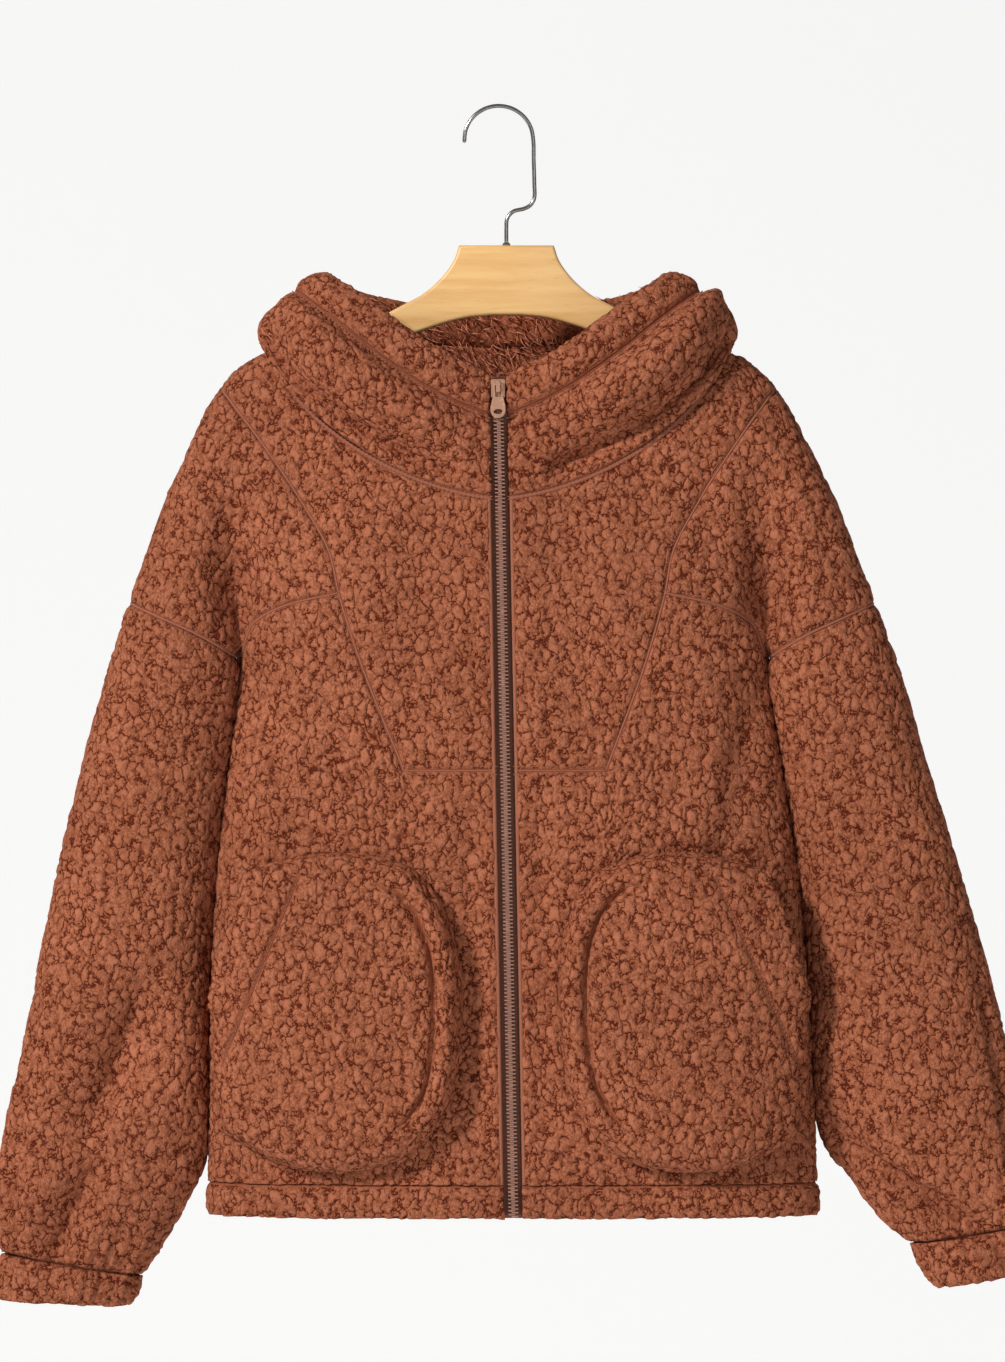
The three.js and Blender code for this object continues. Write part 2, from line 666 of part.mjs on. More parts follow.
// A point of a flat oval between an outer and an inner edge; turn 0 is outer, 0.25 front.
function ovalPoint(outer, inner, depth, turn) {
  const angle = turn * 2 * Math.PI;
  const across = Math.sign(Math.cos(angle)) * Math.pow(Math.abs(Math.cos(angle)), 2 / 2.3);
  const along = -Math.sign(Math.sin(angle)) * Math.pow(Math.abs(Math.sin(angle)), 2 / 2.3);
  const centre = outer.clone().add(inner).multiplyScalar(0.5);
  const point = centre.addScaledVector(outer.clone().sub(inner), across / 2);
  point.y += along * depth;
  return point;
}

function tubeReader(table) {
  const columns = ["outX", "outZ", "inX", "inZ", "depth"].map((name) => reader(table, "at", name));
  return (at, turn) => {
    const [outX, outZ, inX, inZ, depth] = columns.map((read) => read(at));
    const outer = new THREE.Vector3(outX, 0, outZ);
    const inner = new THREE.Vector3(inX, 0, inZ);
    return ovalPoint(outer, inner, depth, turn);
  };
}

function foldDepth(side, at, turn) {
  let total = 0;
  for (const row of SLEEVE_FOLDS) {
    if (row.side !== side || at < row.at0 - 0.1 || at > row.at1 + 0.1) continue;
    const t = THREE.MathUtils.clamp((at - row.at0) / (row.at1 - row.at0), 0, 1);
    const ends = smooth((at - row.at0 + 0.08) / 0.16) * smooth((row.at1 + 0.06 - at) / 0.12);
    const off = (turn - mix(row.turn0, row.turn1, smooth(t))) / row.wide;
    total += row.deep * ends * Math.exp(-off * off);
  }
  return total;
}

// The armhole ring, with the same points as the panels that it is sewn to.
function armhole(side) {
  const front = sleeveSeam.map(([half, z]) => onTrunk(side, half, z, -1));
  const back = sleeveSeam.map(([half, z]) => onTrunk(side, half, z, 1));
  const ring = [...front.reverse(), ...back.slice(1, -1)];
  const middleOfRing = ring
    .reduce((sum, place) => sum.add(place.point), new THREE.Vector3())
    .divideScalar(ring.length);
  return ring.map((place) => {
    const atArmpit = Math.abs(place.point.z - ARMPIT) < 0.01;
    const apart = new THREE.Vector3(side * 0.45, 0, -0.9).multiplyScalar(2 * SEAM);
    const point = place.point.clone().add(apart);
    if (atArmpit) point.x += side * SEAM * 2;
    const inwards = middleOfRing.clone().sub(point).normalize();
    const normal = atArmpit ? inwards.negate() : place.normal;
    return { point, inner: point.clone().addScaledVector(normal, -room(place)) };
  });
}

// Rings of points down a tube, from outer through front, inner and back.
function tubeRings(read, rows, turns, shape) {
  return steps(rows).map((at) => turns.map((turn) => shape(read(at, turn), at, turn)));
}

// Turns a closed net of rings into a wall of even thickness.
function tubeWall(rings, thick, firstInner) {
  const count = rings[0].length;
  const last = rings.length - 1;
  const grid = rings.map((ring, j) =>
    steps(count).map((_, i) => {
      const here = ring[i % count];
      const along = rings[Math.min(j + 1, last)][i % count]
        .clone()
        .sub(rings[Math.max(j - 1, 0)][i % count]);
      const round = ring[(i + 1) % count].clone().sub(ring[(i - 1 + count) % count]);
      const normal = along.cross(round).normalize();
      const centre = ring.reduce((sum, p) => sum.add(p), new THREE.Vector3()).divideScalar(count);
      if (normal.dot(here.clone().sub(centre)) < 0) normal.negate();
      if (j === 0 && firstInner) return { outer: here, inner: firstInner[i % count] };
      return { outer: here, inner: here.clone().addScaledVector(normal, -thick) };
    }),
  );
  return wall([{ grid }]);
}

const SLEEVE_TURNS = steps(2 * CELLS.yokeHigh).slice(0, -1);

function gather(at, turn) {
  const wave = Math.cos(turn * 2 * Math.PI * GATHERS) + 0.5 * Math.cos(turn * 2 * Math.PI * 5 + 1);
  return GATHER_DEPTH * smooth((at - GATHER_FROM) / (1 - GATHER_FROM)) * wave;
}

function sleeveRings(side, start) {
  const read = tubeReader(side < 0 ? SLEEVE_LEFT : SLEEVE_RIGHT);
  return tubeRings(read, SLEEVE_ROWS, SLEEVE_TURNS, (point, at, turn) => {
    const depth = foldDepth(side, at, turn) + gather(at, turn) * 0.5;
    const centre = read(at, 0).add(read(at, 0.5)).multiplyScalar(0.5);
    const inwards = centre.sub(point).normalize();
    const shaped = point.addScaledVector(inwards, depth);
    const sewn = start[Math.round(turn * SLEEVE_TURNS.length)].point;
    const free = smooth(at / 0.16);
    const moved = sewn.clone().add(read(at, turn)).sub(read(0, turn));
    return at === 0 ? sewn.clone() : moved.lerp(shaped, free);
  });
}

function sleeve(side) {
  const start = armhole(side);
  return tubeWall(sleeveRings(side, start), CLOTH, start.map((place) => place.inner));
}

// The cuff starts at the sleeve's last ring.
function cuff(side) {
  const read = tubeReader(side < 0 ? CUFF_LEFT : CUFF_RIGHT);
  const centreAt = (at) => read(at, 0).add(read(at, 0.5)).multiplyScalar(0.5);
  const down = centreAt(1).sub(centreAt(0)).normalize();
  const sewn = sleeveRings(side, armhole(side)).at(-1);
  const rings = tubeRings(read, CUFF_ROWS, SLEEVE_TURNS, (point, at, turn) => {
    const place = Math.round(turn * SLEEVE_TURNS.length);
    if (at === 0) return sewn[place].clone().addScaledVector(down, SEAM);
    return point.addScaledVector(centreAt(at).sub(point).normalize(), gather(1, turn) * 0.4);
  });
  return tubeWall(rings, CUFF_CLOTH);
}

// Hem band, open at the zip

function hemBand() {
  const start = Math.asin(Math.pow((ZIP_HALF + SEAM) / trunkHalf(HEM), FULLNESS / 2));
  const turns = [
    ...steps(CELLS.hemRound).map((t) => ({ angle: mix(start, Math.PI / 2, t), face: -1 })),
    ...steps(CELLS.hemRound).slice(1).map((t) => ({ angle: mix(Math.PI / 2, Math.PI, t), face: 1 })),
  ];
  const right = turns.map((turn) => ({ ...turn, side: 1 }));
  const left = [...turns].reverse().slice(1).map((turn) => ({ ...turn, side: -1 }));
  const rows = [
    { z: HEM_SEAM - SEAM, lift: 0 },
    { z: HEM_SEAM - 8, lift: HEM_PROUD },
    { z: HEM, lift: HEM_PROUD },
  ];
  const grid = rows.map(({ z, lift }) =>
    [...right, ...left].map(({ angle, face, side }) => {
      const half = trunkHalf(z) * Math.pow(Math.sin(angle), 2 / FULLNESS);
      const place = { ...onTrunk(side, Math.max(half, 0), z, face), face: 0 };
      if (half > trunkHalf(z) * 0.9999) place.point.y = 0;
      return { outer: outwards(place, lift), inner: outwards(place, -HEM_INSIDE) };
    }),
  );
  return wall([{ grid }]);
}

// Hood

const hoodColumns = Object.fromEntries(
  Object.keys(HOOD[0])
    .filter((name) => name !== "f")
    .map((name) => [name, reader(HOOD, "f", name)]),
);

// The section of the hood at f, a smooth line from the neck seam to the rim.
function hoodSection(side, f, [half, z]) {
  const seam = onTrunk(side, half, z, f <= 0.5 ? -1 : 1).point;
  if (f === 0.5) seam.y = 0;
  seam.z += 2 * SEAM;
  const read = (name) => hoodColumns[name](f);
  const rimZ = read("rimZ");
  const rim = new THREE.Vector3(middle(rimZ) + side * read("rimHalf"), read("rimY"), rimZ);
  const round = f * Math.PI;
  const out = new THREE.Vector3(side * Math.sin(round), -Math.cos(round), 0);
  const points = [1, 2, 3, 4].map((k) =>
    seam
      .clone()
      .lerp(rim, k / 5)
      .addScaledVector(out, read(`o${k}`))
      .add(new THREE.Vector3(0, 0, read(`u${k}`))),
  );
  return new THREE.CatmullRomCurve3([seam, ...points, rim], false, "centripetal");
}

function hoodNet(side) {
  const sections = [
    ...neckShares.map((share, i) => hoodSection(side, share / 2, frontNeck[i])),
    ...neckShares.map((share, i) => hoodSection(side, 1 - share / 2, backNeck[i])).reverse().slice(1),
  ];
  const shares = (count, from, to) =>
    sections.map((curve) => {
      const length = curve.getLength();
      const places = steps(count).map((t) => mix(from(length), to(length), t));
      return places.map((u) => ({ point: curve.getPointAt(u), up: curve.getTangentAt(u) }));
    });
  return {
    panel: shares(CELLS.hoodRows, () => 0, (length) => 1 - (HOOD_BAND + SEAM) / length),
    band: shares(CELLS.bandRows, (length) => 1 - HOOD_BAND / length, () => 1),
  };
}

// Offsets a net of columns along its own normals, out by lift and in by the rest.
function netWall(columns, lift, thick, outside) {
  const last = columns.length - 1;
  return columns.map((column, i) =>
    column.map(({ point, up }, j) => {
      const next = columns[Math.min(i + 1, last)][j].point;
      const before = columns[Math.max(i - 1, 0)][j].point;
      const round = next.clone().sub(before);
      const normal = round.cross(up).normalize().multiplyScalar(outside);
      return {
        outer: point.clone().addScaledVector(normal, lift),
        inner: point.clone().addScaledVector(normal, lift - thick),
      };
    }),
  );
}

function heldAtMiddle(columns, side) {
  const end = columns.length - 1;
  for (const place of columns[end]) {
    for (const point of [place.outer, place.inner]) point.x = middle(point.z) + side * SIDE_GAP;
  }
  return columns;
}

function hoodHalf(side) {
  return wall([{ grid: heldAtMiddle(netWall(hoodNet(side).panel, 0, CLOTH, side), side) }]);
}

function hoodBand() {
  const right = hoodNet(1).band;
  const left = hoodNet(-1).band.reverse().slice(1);
  return wall([{ grid: netWall([...right, ...left], HOOD_BAND_PROUD, HOOD_BAND_THICK, 1) }]);
}

// Pockets

function tablePath(rows, count) {
  const curve = new THREE.SplineCurve(rows.map((row) => new THREE.Vector2(row.half, row.z)));
  return steps(count).map((t) => {
    const p = curve.getPointAt((1 - Math.cos(t * Math.PI)) / 2);
    return [p.x, p.y];
  });
}

function rise(share) {
  return Math.pow(Math.sin((Math.min(share / POCKET_ROLL, 1) * Math.PI) / 2), 0.8);
}

function pocket(side) {
  const { across, up } = POCKET_CELLS;
  const grid = fill(
    tablePath(POCKET_BOTTOM, across),
    tablePath(POCKET_TOP, across),
    tablePath(POCKET_INNER, up),
    tablePath(POCKET_SIDE, up),
  );
  const even = (t) => (1 - Math.cos(t * Math.PI)) / 2;
  const walls = grid.map((row, j) =>
    row.map(([half, z], i) => {
      const s = even(i / across);
      const t = even(j / up);
      const sewn = rise(s) * rise(t) * rise(1 - t);
      const mouth = smooth((t - POCKET_MOUTH_FROM + 0.12) / 0.12) * rise(1 - t);
      const atSide = mix(rise(1 - s), 1, mouth);
      const stand = mix(POCKET_STAND, POCKET_MOUTH_STAND, smooth((s - 0.6) / 0.4) * mouth);
      const lift = POCKET_EDGE_STAND + stand * sewn * atSide;
      const place = onTrunk(side, Math.min(half, trunkHalf(z) - POCKET_SIDE_GAP), z, -1);
      place.face = 0;
      place.normal.x *= POCKET_FORWARD;
      place.normal.normalize();
      return { outer: outwards(place, lift + CLOTH), inner: outwards(place, lift) };
    }),
  );
  return wall([{ grid: walls }]);
}

// Zip

function zipPoint(z, across, behind) {
  const rimY = reader(HOOD, "f", "rimY")(0);
  const rimZ = reader(HOOD, "f", "rimZ")(0);
  const surface = z < NECK_FRONT
    ? -frontDepth(z)
    : mix(-frontDepth(NECK_FRONT), rimY, (z - NECK_FRONT) / (rimZ - NECK_FRONT));
  return new THREE.Vector3(middle(z) + across, surface + behind, z);
}

function strip(left, right, front, back, top) {
  const below = steps(ZIP_CELLS.below).map((t) => mix(HEM, NECK_FRONT, t));
  const above = steps(ZIP_CELLS.above).map((t) => mix(NECK_FRONT, top, t));
  const rings = [...below, ...above.slice(1)].map((z) => {
    return [
      zipPoint(z, left, front),
      zipPoint(z, right, front),
      zipPoint(z, right, back),
      zipPoint(z, left, back),
    ];
  });
  const points = rings.flat();
  const triangles = [[0, 1, 2], [0, 2, 3]];
  const end = points.length - 4;
  triangles.push([end + 2, end + 1, end], [end + 3, end + 2, end]);
  for (let i = 0; i < rings.length - 1; i += 1) {
    for (let k = 0; k < 4; k += 1) {
      const a = 4 * i + k;
      const b = 4 * i + ((k + 1) % 4);
      triangles.push([b, a, a + 4], [b, a + 4, b + 4]);
    }
  }
  return solid(points, triangles);
}

function zipTape(side) {
  const ends = [side * TAPE.from, side * TAPE.to].sort((a, b) => a - b);
  return strip(...ends, TAPE.behind, TAPE.behind + TAPE.thick, SLIDER.top - 4);
}

function zipChain() {
  return strip(-CHAIN.half, CHAIN.half, CHAIN.front, CHAIN.back, CHAIN_TOP);
}

// The slider with its bridge: a side profile, extruded, with the wide body below the narrow bridge.
function sliderShape(points, half) {
  const shape = new THREE.Shape(points.map(([y, z]) => new THREE.Vector2(y, z)));
  const geometry = new THREE.ExtrudeGeometry(shape, { depth: 2 * half, bevelEnabled: false });
  geometry.translate(0, 0, -half);
  return geometry.applyMatrix4(
    new THREE.Matrix4().makeBasis(
      new THREE.Vector3(0, 1, 0),
      new THREE.Vector3(0, 0, 1),
      new THREE.Vector3(1, 0, 0),
    ),
  );
}

function sliderBody() {
  const { proud, back, top, bottom, half } = SLIDER;
  const chamfer = 1.5;
  return sliderShape(
    [
      [-proud, top - chamfer],
      [-proud + chamfer, top],
      [back, top],
      [back, bottom],
      [-proud + 1, bottom],
      [-proud, bottom + 1],
    ],
    half,
  );
}

function sliderBridge() {
  const face = -SLIDER.proud - SEAM;
  const { reach, bar, top, bottom, half } = BRIDGE;
  const outer = face - reach;
  const curve = 1;
  return sliderShape(
    [
      [face, top],
      [face, top - bar],
      [outer + bar, top - bar],
      [outer + bar, bottom + bar],
      [face, bottom + bar],
      [face, bottom],
      [outer + curve, bottom],
      [outer, bottom + curve],
      [outer, top - curve],
      [outer + curve, top],
    ].reverse(),
    half,
  );
}

// The pull tab: a bar at the top turns in the slider's bridge.
function pullTab() {
  const { narrow, wide, length, slot, thick } = PULL;
  const barHalf = 0.8;
  const shape = new THREE.Shape();
  shape.moveTo(-narrow, barHalf);
  shape.lineTo(-narrow, -8);
  shape.lineTo(-wide, -17);
  shape.absarc(0, -length + wide, wide, Math.PI, 2 * Math.PI, false);
  shape.lineTo(wide, -17);
  shape.lineTo(narrow, -8);
  shape.lineTo(narrow, barHalf);
  const slotHole = new THREE.Path();
  slotHole.moveTo(-slot, -barHalf);
  slotHole.lineTo(slot, -barHalf);
  slotHole.lineTo(slot, -PULL_SLOT_LENGTH);
  slotHole.lineTo(-slot, -PULL_SLOT_LENGTH);
  slotHole.lineTo(-slot, -barHalf);
  const eye = new THREE.Path();
  eye.absellipse(0, -PULL_HOLE.down, PULL_HOLE.half, 2, 0, 2 * Math.PI, true);
  shape.holes.push(slotHole, eye);
  const geometry = new THREE.ExtrudeGeometry(shape, {
    depth: thick,
    bevelEnabled: false,
    curveSegments: 10,
  });
  geometry.translate(0, 0, -thick / 2);
  geometry.rotateX(Math.PI / 2);
  return geometry;
}

// Hanger and hook

// The height at which an arm of the hanger just carries the shoulder from inside.
function seatHeight(side, x) {
  const halfThick = HANGER_THICK / 2;
  let low = SEAT_LOWEST;
  let high = NECK_SIDE;
  for (let i = 0; i < 40; i += 1) {
    const z = (low + high) / 2;
    const half = Math.abs(HANGER_X + side * x - middle(z));
    const room = [-1, 1].map((face) => {
      if (half >= shoulderHalf(z) - 0.01) return -1;
      const place = onTrunk(side, half, z, face);
      return Math.abs(place.point.y) - CLOTH / Math.max(Math.abs(place.normal.y), 0.05) - halfThick;
    });
    if (Math.min(...room) > 0) low = z;
    else high = z;
  }
  return low - SEAT_CLEARANCE;
}

function hangerOutline(side) {
  const seats = HANGER_SEAT.map((x) => ({ x, z: seatHeight(side, x) }));
  const lastSeat = seats[seats.length - 1];
  const tip = { x: HANGER_TIP.x, z: lastSeat.z - HANGER_TIP.drop };
  return [...HANGER_NECK, ...seats, tip, ...HANGER_UNDER];
}

function hanger() {
  const right = hangerOutline(1).map(({ x, z }) => new THREE.Vector2(x, z));
  const left = hangerOutline(-1).map(({ x, z }) => new THREE.Vector2(-x, z)).reverse();
  const shape = new THREE.Shape([...right, ...left]);
  const geometry = new THREE.ExtrudeGeometry(shape, {
    depth: HANGER_THICK - 2 * HANGER_ROUND,
    bevelThickness: HANGER_ROUND,
    bevelSize: HANGER_ROUND,
    bevelOffset: -HANGER_ROUND,
    bevelSegments: 1,
  });
  geometry.translate(HANGER_X, 0, -HANGER_THICK / 2 + HANGER_ROUND);
  return geometry.rotateX(Math.PI / 2);
}

function hookPath() {
  const points = [
    [HANGER_X, HANGER_TOP + FERRULE.height + 2 * SEAM],
    [HANGER_X, HANGER_TOP + 14],
    [HANGER_X + 0.6, HANGER_TOP + 21],
    [HANGER_X + 5, HANGER_TOP + 26.5],
    [HANGER_X + 14, HANGER_TOP + 29],
    [HOOK_LEG - 2.5, HANGER_TOP + 31.5],
    [HOOK_LEG + 0.6, HANGER_TOP + 36.5],
    [HOOK_LEG + 0.8, -58],
    [HOOK_LEG + 0.3, -40],
  ];
  const centreZ = WIRE - HOOK_BEND.radius;
  for (let angle = 0; angle <= HOOK_TIP_ANGLE; angle += 23) {
    const turned = THREE.MathUtils.degToRad(angle);
    points.push([
      HOOK_BEND.x + HOOK_BEND.radius * Math.cos(turned),
      centreZ + HOOK_BEND.radius * Math.sin(turned),
    ]);
  }
  return new THREE.CatmullRomCurve3(
    points.map(([x, z]) => new THREE.Vector3(x, 0, z)),
    false,
    "centripetal",
  );
}

function hook() {
  const section = new THREE.Shape(
    steps(HOOK_SIDES)
      .slice(0, -1)
      .map((t) => {
        const angle = t * 2 * Math.PI;
        return new THREE.Vector2(WIRE * Math.cos(angle), WIRE * Math.sin(angle));
      }),
  );
  return new THREE.ExtrudeGeometry(section, { steps: HOOK_STEPS, extrudePath: hookPath() });
}

function ferrule() {
  const geometry = new THREE.CylinderGeometry(FERRULE.radius, FERRULE.radius, FERRULE.height, 16);
  geometry.rotateX(Math.PI / 2);
  geometry.translate(HANGER_X, 0, HANGER_TOP + SEAM + FERRULE.height / 2);
  return geometry;
}

// The whole

const jacket = new THREE.Group();

function add(parent, name, geometry, material) {
  const mesh = new THREE.Mesh(geometry, material);
  mesh.name = name;
  parent.add(mesh);
  return mesh;
}

for (const [side, word] of [[-1, "left"], [1, "right"]]) {
  add(jacket, `yoke_${word}`, yoke(side), FLEECE);
  add(jacket, `shoulder_${word}`, shoulder(side), FLEECE);
  add(jacket, `front_${word}`, frontPanel(side), FLEECE);
  add(jacket, `sleeve_${word}`, sleeve(side), FLEECE);
  add(jacket, `cuff_${word}`, cuff(side), FLEECE);
  add(jacket, `hood_${word}`, hoodHalf(side), FLEECE);
  add(jacket, `pocket_${word}`, pocket(side), FLEECE);
  add(jacket, `zip_tape_${word}`, zipTape(side), ZIP_TAPE);
}
add(jacket, "back", backPanel(), FLEECE);
add(jacket, "hem_band", hemBand(), FLEECE);
add(jacket, "hood_band", hoodBand(), FLEECE);
add(jacket, "zip_chain", zipChain(), ZIP_TEETH);

const sliderPlace = new THREE.Group();
sliderPlace.position.copy(zipPoint(PULL.pivotZ, 0, 0)).setZ(0);
add(sliderPlace, "zip_slider", sliderBody(), ZIP_PULL);
add(sliderPlace, "zip_bridge", sliderBridge(), ZIP_PULL);
const tab = add(sliderPlace, "zip_pull", pullTab(), ZIP_PULL);
tab.position.set(0, -SLIDER.proud - SEAM - PULL.pivotOut, PULL.pivotZ);
jacket.add(sliderPlace);

add(jacket, "hanger", hanger(), BEECH);
add(jacket, "hook", hook(), STEEL);
add(jacket, "hook_ferrule", ferrule(), STEEL);

export default jacket;
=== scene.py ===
# A hooded jacket of thick curly fleece on a wooden hanger with a wire hook: its fine surfaces,
# materials, studio and camera. Shapes are worked out in millimetres and turned into metres where a
# mesh is made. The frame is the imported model's: +Z up, -Y the front, the origin inside the hook.
import math

import bmesh
import bpy
import numpy as np
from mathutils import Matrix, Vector


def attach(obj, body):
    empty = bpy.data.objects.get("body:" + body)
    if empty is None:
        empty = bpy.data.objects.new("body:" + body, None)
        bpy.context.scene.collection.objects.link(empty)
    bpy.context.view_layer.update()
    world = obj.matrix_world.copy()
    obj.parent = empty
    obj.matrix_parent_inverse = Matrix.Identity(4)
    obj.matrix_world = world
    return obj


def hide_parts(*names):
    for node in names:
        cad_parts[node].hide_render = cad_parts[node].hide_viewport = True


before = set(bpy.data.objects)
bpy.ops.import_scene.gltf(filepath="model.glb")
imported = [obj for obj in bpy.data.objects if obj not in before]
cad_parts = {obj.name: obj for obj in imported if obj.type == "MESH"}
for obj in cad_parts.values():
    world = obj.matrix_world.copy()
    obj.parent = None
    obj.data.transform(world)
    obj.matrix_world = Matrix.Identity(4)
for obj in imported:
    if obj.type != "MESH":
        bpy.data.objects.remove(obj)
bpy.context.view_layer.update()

MM = 0.001
BODY = "jacket"
SIDES = ((-1, "left"), (1, "right"))


def table(names, *rows):
    """Rows of numbers under their names."""
    return [dict(zip(names.split(), row)) for row in rows]


# Fineness
FINE = 2.15  # between points of the fleece in front
COARSE = 2.7  # at the back
INNER = 4  # outer cells to one cell of the inside

# Cloth and seams
CLOTH = 4.0
SEAM = 0.3
SIDE_GAP = 0.15
FULLNESS = 2.8
PILE = 3.2  # height of the round bumps of the pile
PILE_SINK = 0.74  # share of it that lies under the cloth's plain surface
CURL = 7.4  # across a curl of the pile
SMALL_CURL = 3.7
CURL_DEPTH = 0.0019  # of the bumps that the material adds, in metres
CURL_SQUEEZE = 0.7  # across and in depth a curl is this share of its height
WANDER = 0.0105  # how far the cracks between the curls wander, in metres
WANDER_SCALE = 155.0  # swings to a metre, here and in the next two
PATCHY_SCALE = 150.0
LUMP_SCALE = 62.0
SEAM_PILE = 0.2  # share of the pile's height that is left at a seam
SEAM_PILE_RISE = dict(start=0.6, reach=2.8)
SEAM_DIP = dict(deep=1.9, reach=6)
PRESSED = dict(least=1.3, rise=0.06)  # how thin the cloth gets towards the armpit
ALL_SIDES = ("bottom", "top", "left", "right")

# Lengths of edges, from which the counts of points come
SPAN = dict(
    yoke=75, shoulder=120, front=260, front_up=400, back=230, back_up=240, back_sleeve=110,
    pocket=215, pocket_up=235, hem_front=255, hem_back=250, hood_up=250,
)

# Heights and widths of the main lines
NECK_SIDE = -189
NECK_FRONT = -306
NECK_BACK = -212
YOKE_CORNER = -219
YOKE_JOIN = -379
YOKE_HEM = -516
SLEEVE_TOP = -386
ARMPIT = -428
HEM_SEAM = -836
HEM = -862
NECK_HALF = 175
ARMPIT_HALF = 206
ZIP_HALF = 7
YOKE_HEM_HALF = 78
YOKE_JOIN_HALF = 126
SLEEVE_TOP_HALF = 291
NECK_ROUND = 1.62
MIDDLE_AT_NECK = -2
MIDDLE_AT_HEM = 10.5

# The outer line of the shoulder and upper sleeve, as half widths
SHOULDER_LINE = table(
    "z half",
    (-440, 308), (-386, 291), (-351, 278), (-308, 262), (-278, 248), (-255, 237), (-232, 225),
    (-219, 216.5), (-206, 205), (-195, 190), (-189, 175),
)

# The trunk, and how far front and back stand from the plane between them
TRUNK = table(
    "z half front back",
    (-862, 238, 50, 42), (-700, 234, 54, 45), (-580, 225, 55, 46), (-500, 214, 54, 46),
    (-428, 206, 52, 44), (-306, 206, 48, 40), (-189, 206, 42, 36),
)

YOKE_SEAM = table(
    "z half",
    (-516, 78), (-427, 112), (-379, 126), (-350, 132), (-308, 154), (-257, 188), (-219, 216.5),
)
SHOULDER_HEM = table(
    "half z",
    (126, -379), (165, -388), (195, -402), (206, -428),
)
SLEEVE_SEAM = table(
    "half z",
    (206, -428), (230, -414), (260, -400), (291, -386),
)

# The fold that runs up from the armpit
FOLD_TOP = -235
FOLD_SOFT = -370
FOLD_DEPTH = 0.85
FOLD_WIDTH = 20
SLEEVE_HEAD_DEPTH = 36
PINCH = 0.07
MIDDLE_CALM = 24  # the folds fade out over this width beside the middle
EDGE_CALM = dict(start=4, reach=14)  # and over this depth at the side seams

# Soft troughs (deep above 0) and ridges (below 0) of the trunk: where each starts and ends
TRUNK_FOLDS = table(
    "face side half0 z0 half1 z1 wide deep",
    (-1, -1, 198, -445, 158, -566, 15, 5),
    (-1, -1, 150, -430, 176, -575, 20, -3),
    (-1, -1, 118, -545, 96, -590, 20, -2.5),
    (-1, -1, 26, -560, 30, -800, 12, 3),
    (-1, -1, 62, -330, 70, -480, 24, 3),
    (-1, -1, 150, -305, 168, -372, 16, 4),
    (-1, 1, 198, -448, 166, -590, 15, 5.5),
    (-1, 1, 146, -440, 160, -560, 22, -3),
    (-1, 1, 28, -540, 22, -780, 12, 3),
    (-1, 1, 48, -340, 64, -500, 22, 3),
    (-1, 1, 158, -300, 172, -376, 15, 4),
    (1, -1, 196, -446, 120, -600, 20, 6),
    (1, 1, 196, -444, 132, -580, 20, 6),
    (1, -1, 60, -420, 84, -700, 26, 5),
    (1, 1, 46, -450, 66, -760, 26, 5),
    (1, -1, 150, -640, 170, -820, 22, 4),
    (1, 1, 160, -620, 150, -820, 22, 4),
)

# Sleeve and cuff sections: outer and inner edge as seen from the front
SLEEVES = {
    -1: table(
        "at outX outZ inX inZ depth",
        (0.0, -287, -386.5, -203, -428.5, 34),
        (0.11, -305, -438, -209.2, -481, 37),
        (0.22, -323, -501, -216.5, -540, 38),
        (0.34, -342, -579, -222.6, -602, 38),
        (0.45, -354, -637, -226.2, -657, 38),
        (0.56, -365, -696, -227.9, -711, 38),
        (0.67, -376, -750, -228.4, -774, 38),
        (0.77, -386, -793, -231.2, -813, 37),
        (0.86, -393, -832, -242.5, -848, 35),
        (0.93, -395, -864, -260, -879, 31),
        (1.0, -387, -892, -281, -910, 25),
    ),
    1: table(
        "at outX outZ inX inZ depth",
        (0.0, 295, -386.5, 208, -428.5, 34),
        (0.11, 312, -438, 216, -481, 37),
        (0.22, 330, -501, 225.5, -540, 38),
        (0.34, 354, -579, 234, -602, 38),
        (0.45, 371, -637, 239.6, -657, 38),
        (0.56, 387, -696, 243.3, -711, 38),
        (0.67, 401, -750, 246, -768, 38),
        (0.77, 411, -791, 255, -806, 37),
        (0.86, 419, -822, 276, -836, 35),
        (0.93, 424, -846, 295, -862, 31),
        (1.0, 421, -868, 322, -885, 25),
    ),
}
CUFFS = {
    -1: table(
        "at outX outZ inX inZ depth",
        (0, -387.5, -893, -281.5, -911, 25),
        (0.3, -391, -905, -283, -919, 28),
        (1, -392, -928, -291, -934, 27),
    ),
    1: table(
        "at outX outZ inX inZ depth",
        (0, 421.5, -869, 322.5, -886, 25),
        (0.3, 427, -879, 327, -897, 28),
        (1, 436, -902, 341, -920, 27),
    ),
}
SLEEVE_LENGTH = 530
CUFF_LENGTH = 32
SLEEVE_ROUND = 340
SLEEVE_WAY = (0.45, -0.9)  # outwards and up, how the seam's gap lies
FOLD_FADE = dict(before=0.08, after=0.06)  # as shares of the sleeve's length
OVAL = 2.3
GATHERS = 9
GATHER_DEPTH = 3.2
GATHER_FROM = 0.7
FINE_GATHERS = 27
FINE_GATHER_DEPTH = 1.3
# How far the sleeve swells towards the trunk, between which shares of its length, and round it
SNUG = dict(more=3.0, start=0.02, end=0.88, fade=0.1, turn=0.5, wide=0.11)
CUFF_SWELL = 2.2
CUFF_SINK = 1.4
CREASE_MORE = 2.1  # the sleeves' creases are this much deeper than the solids'

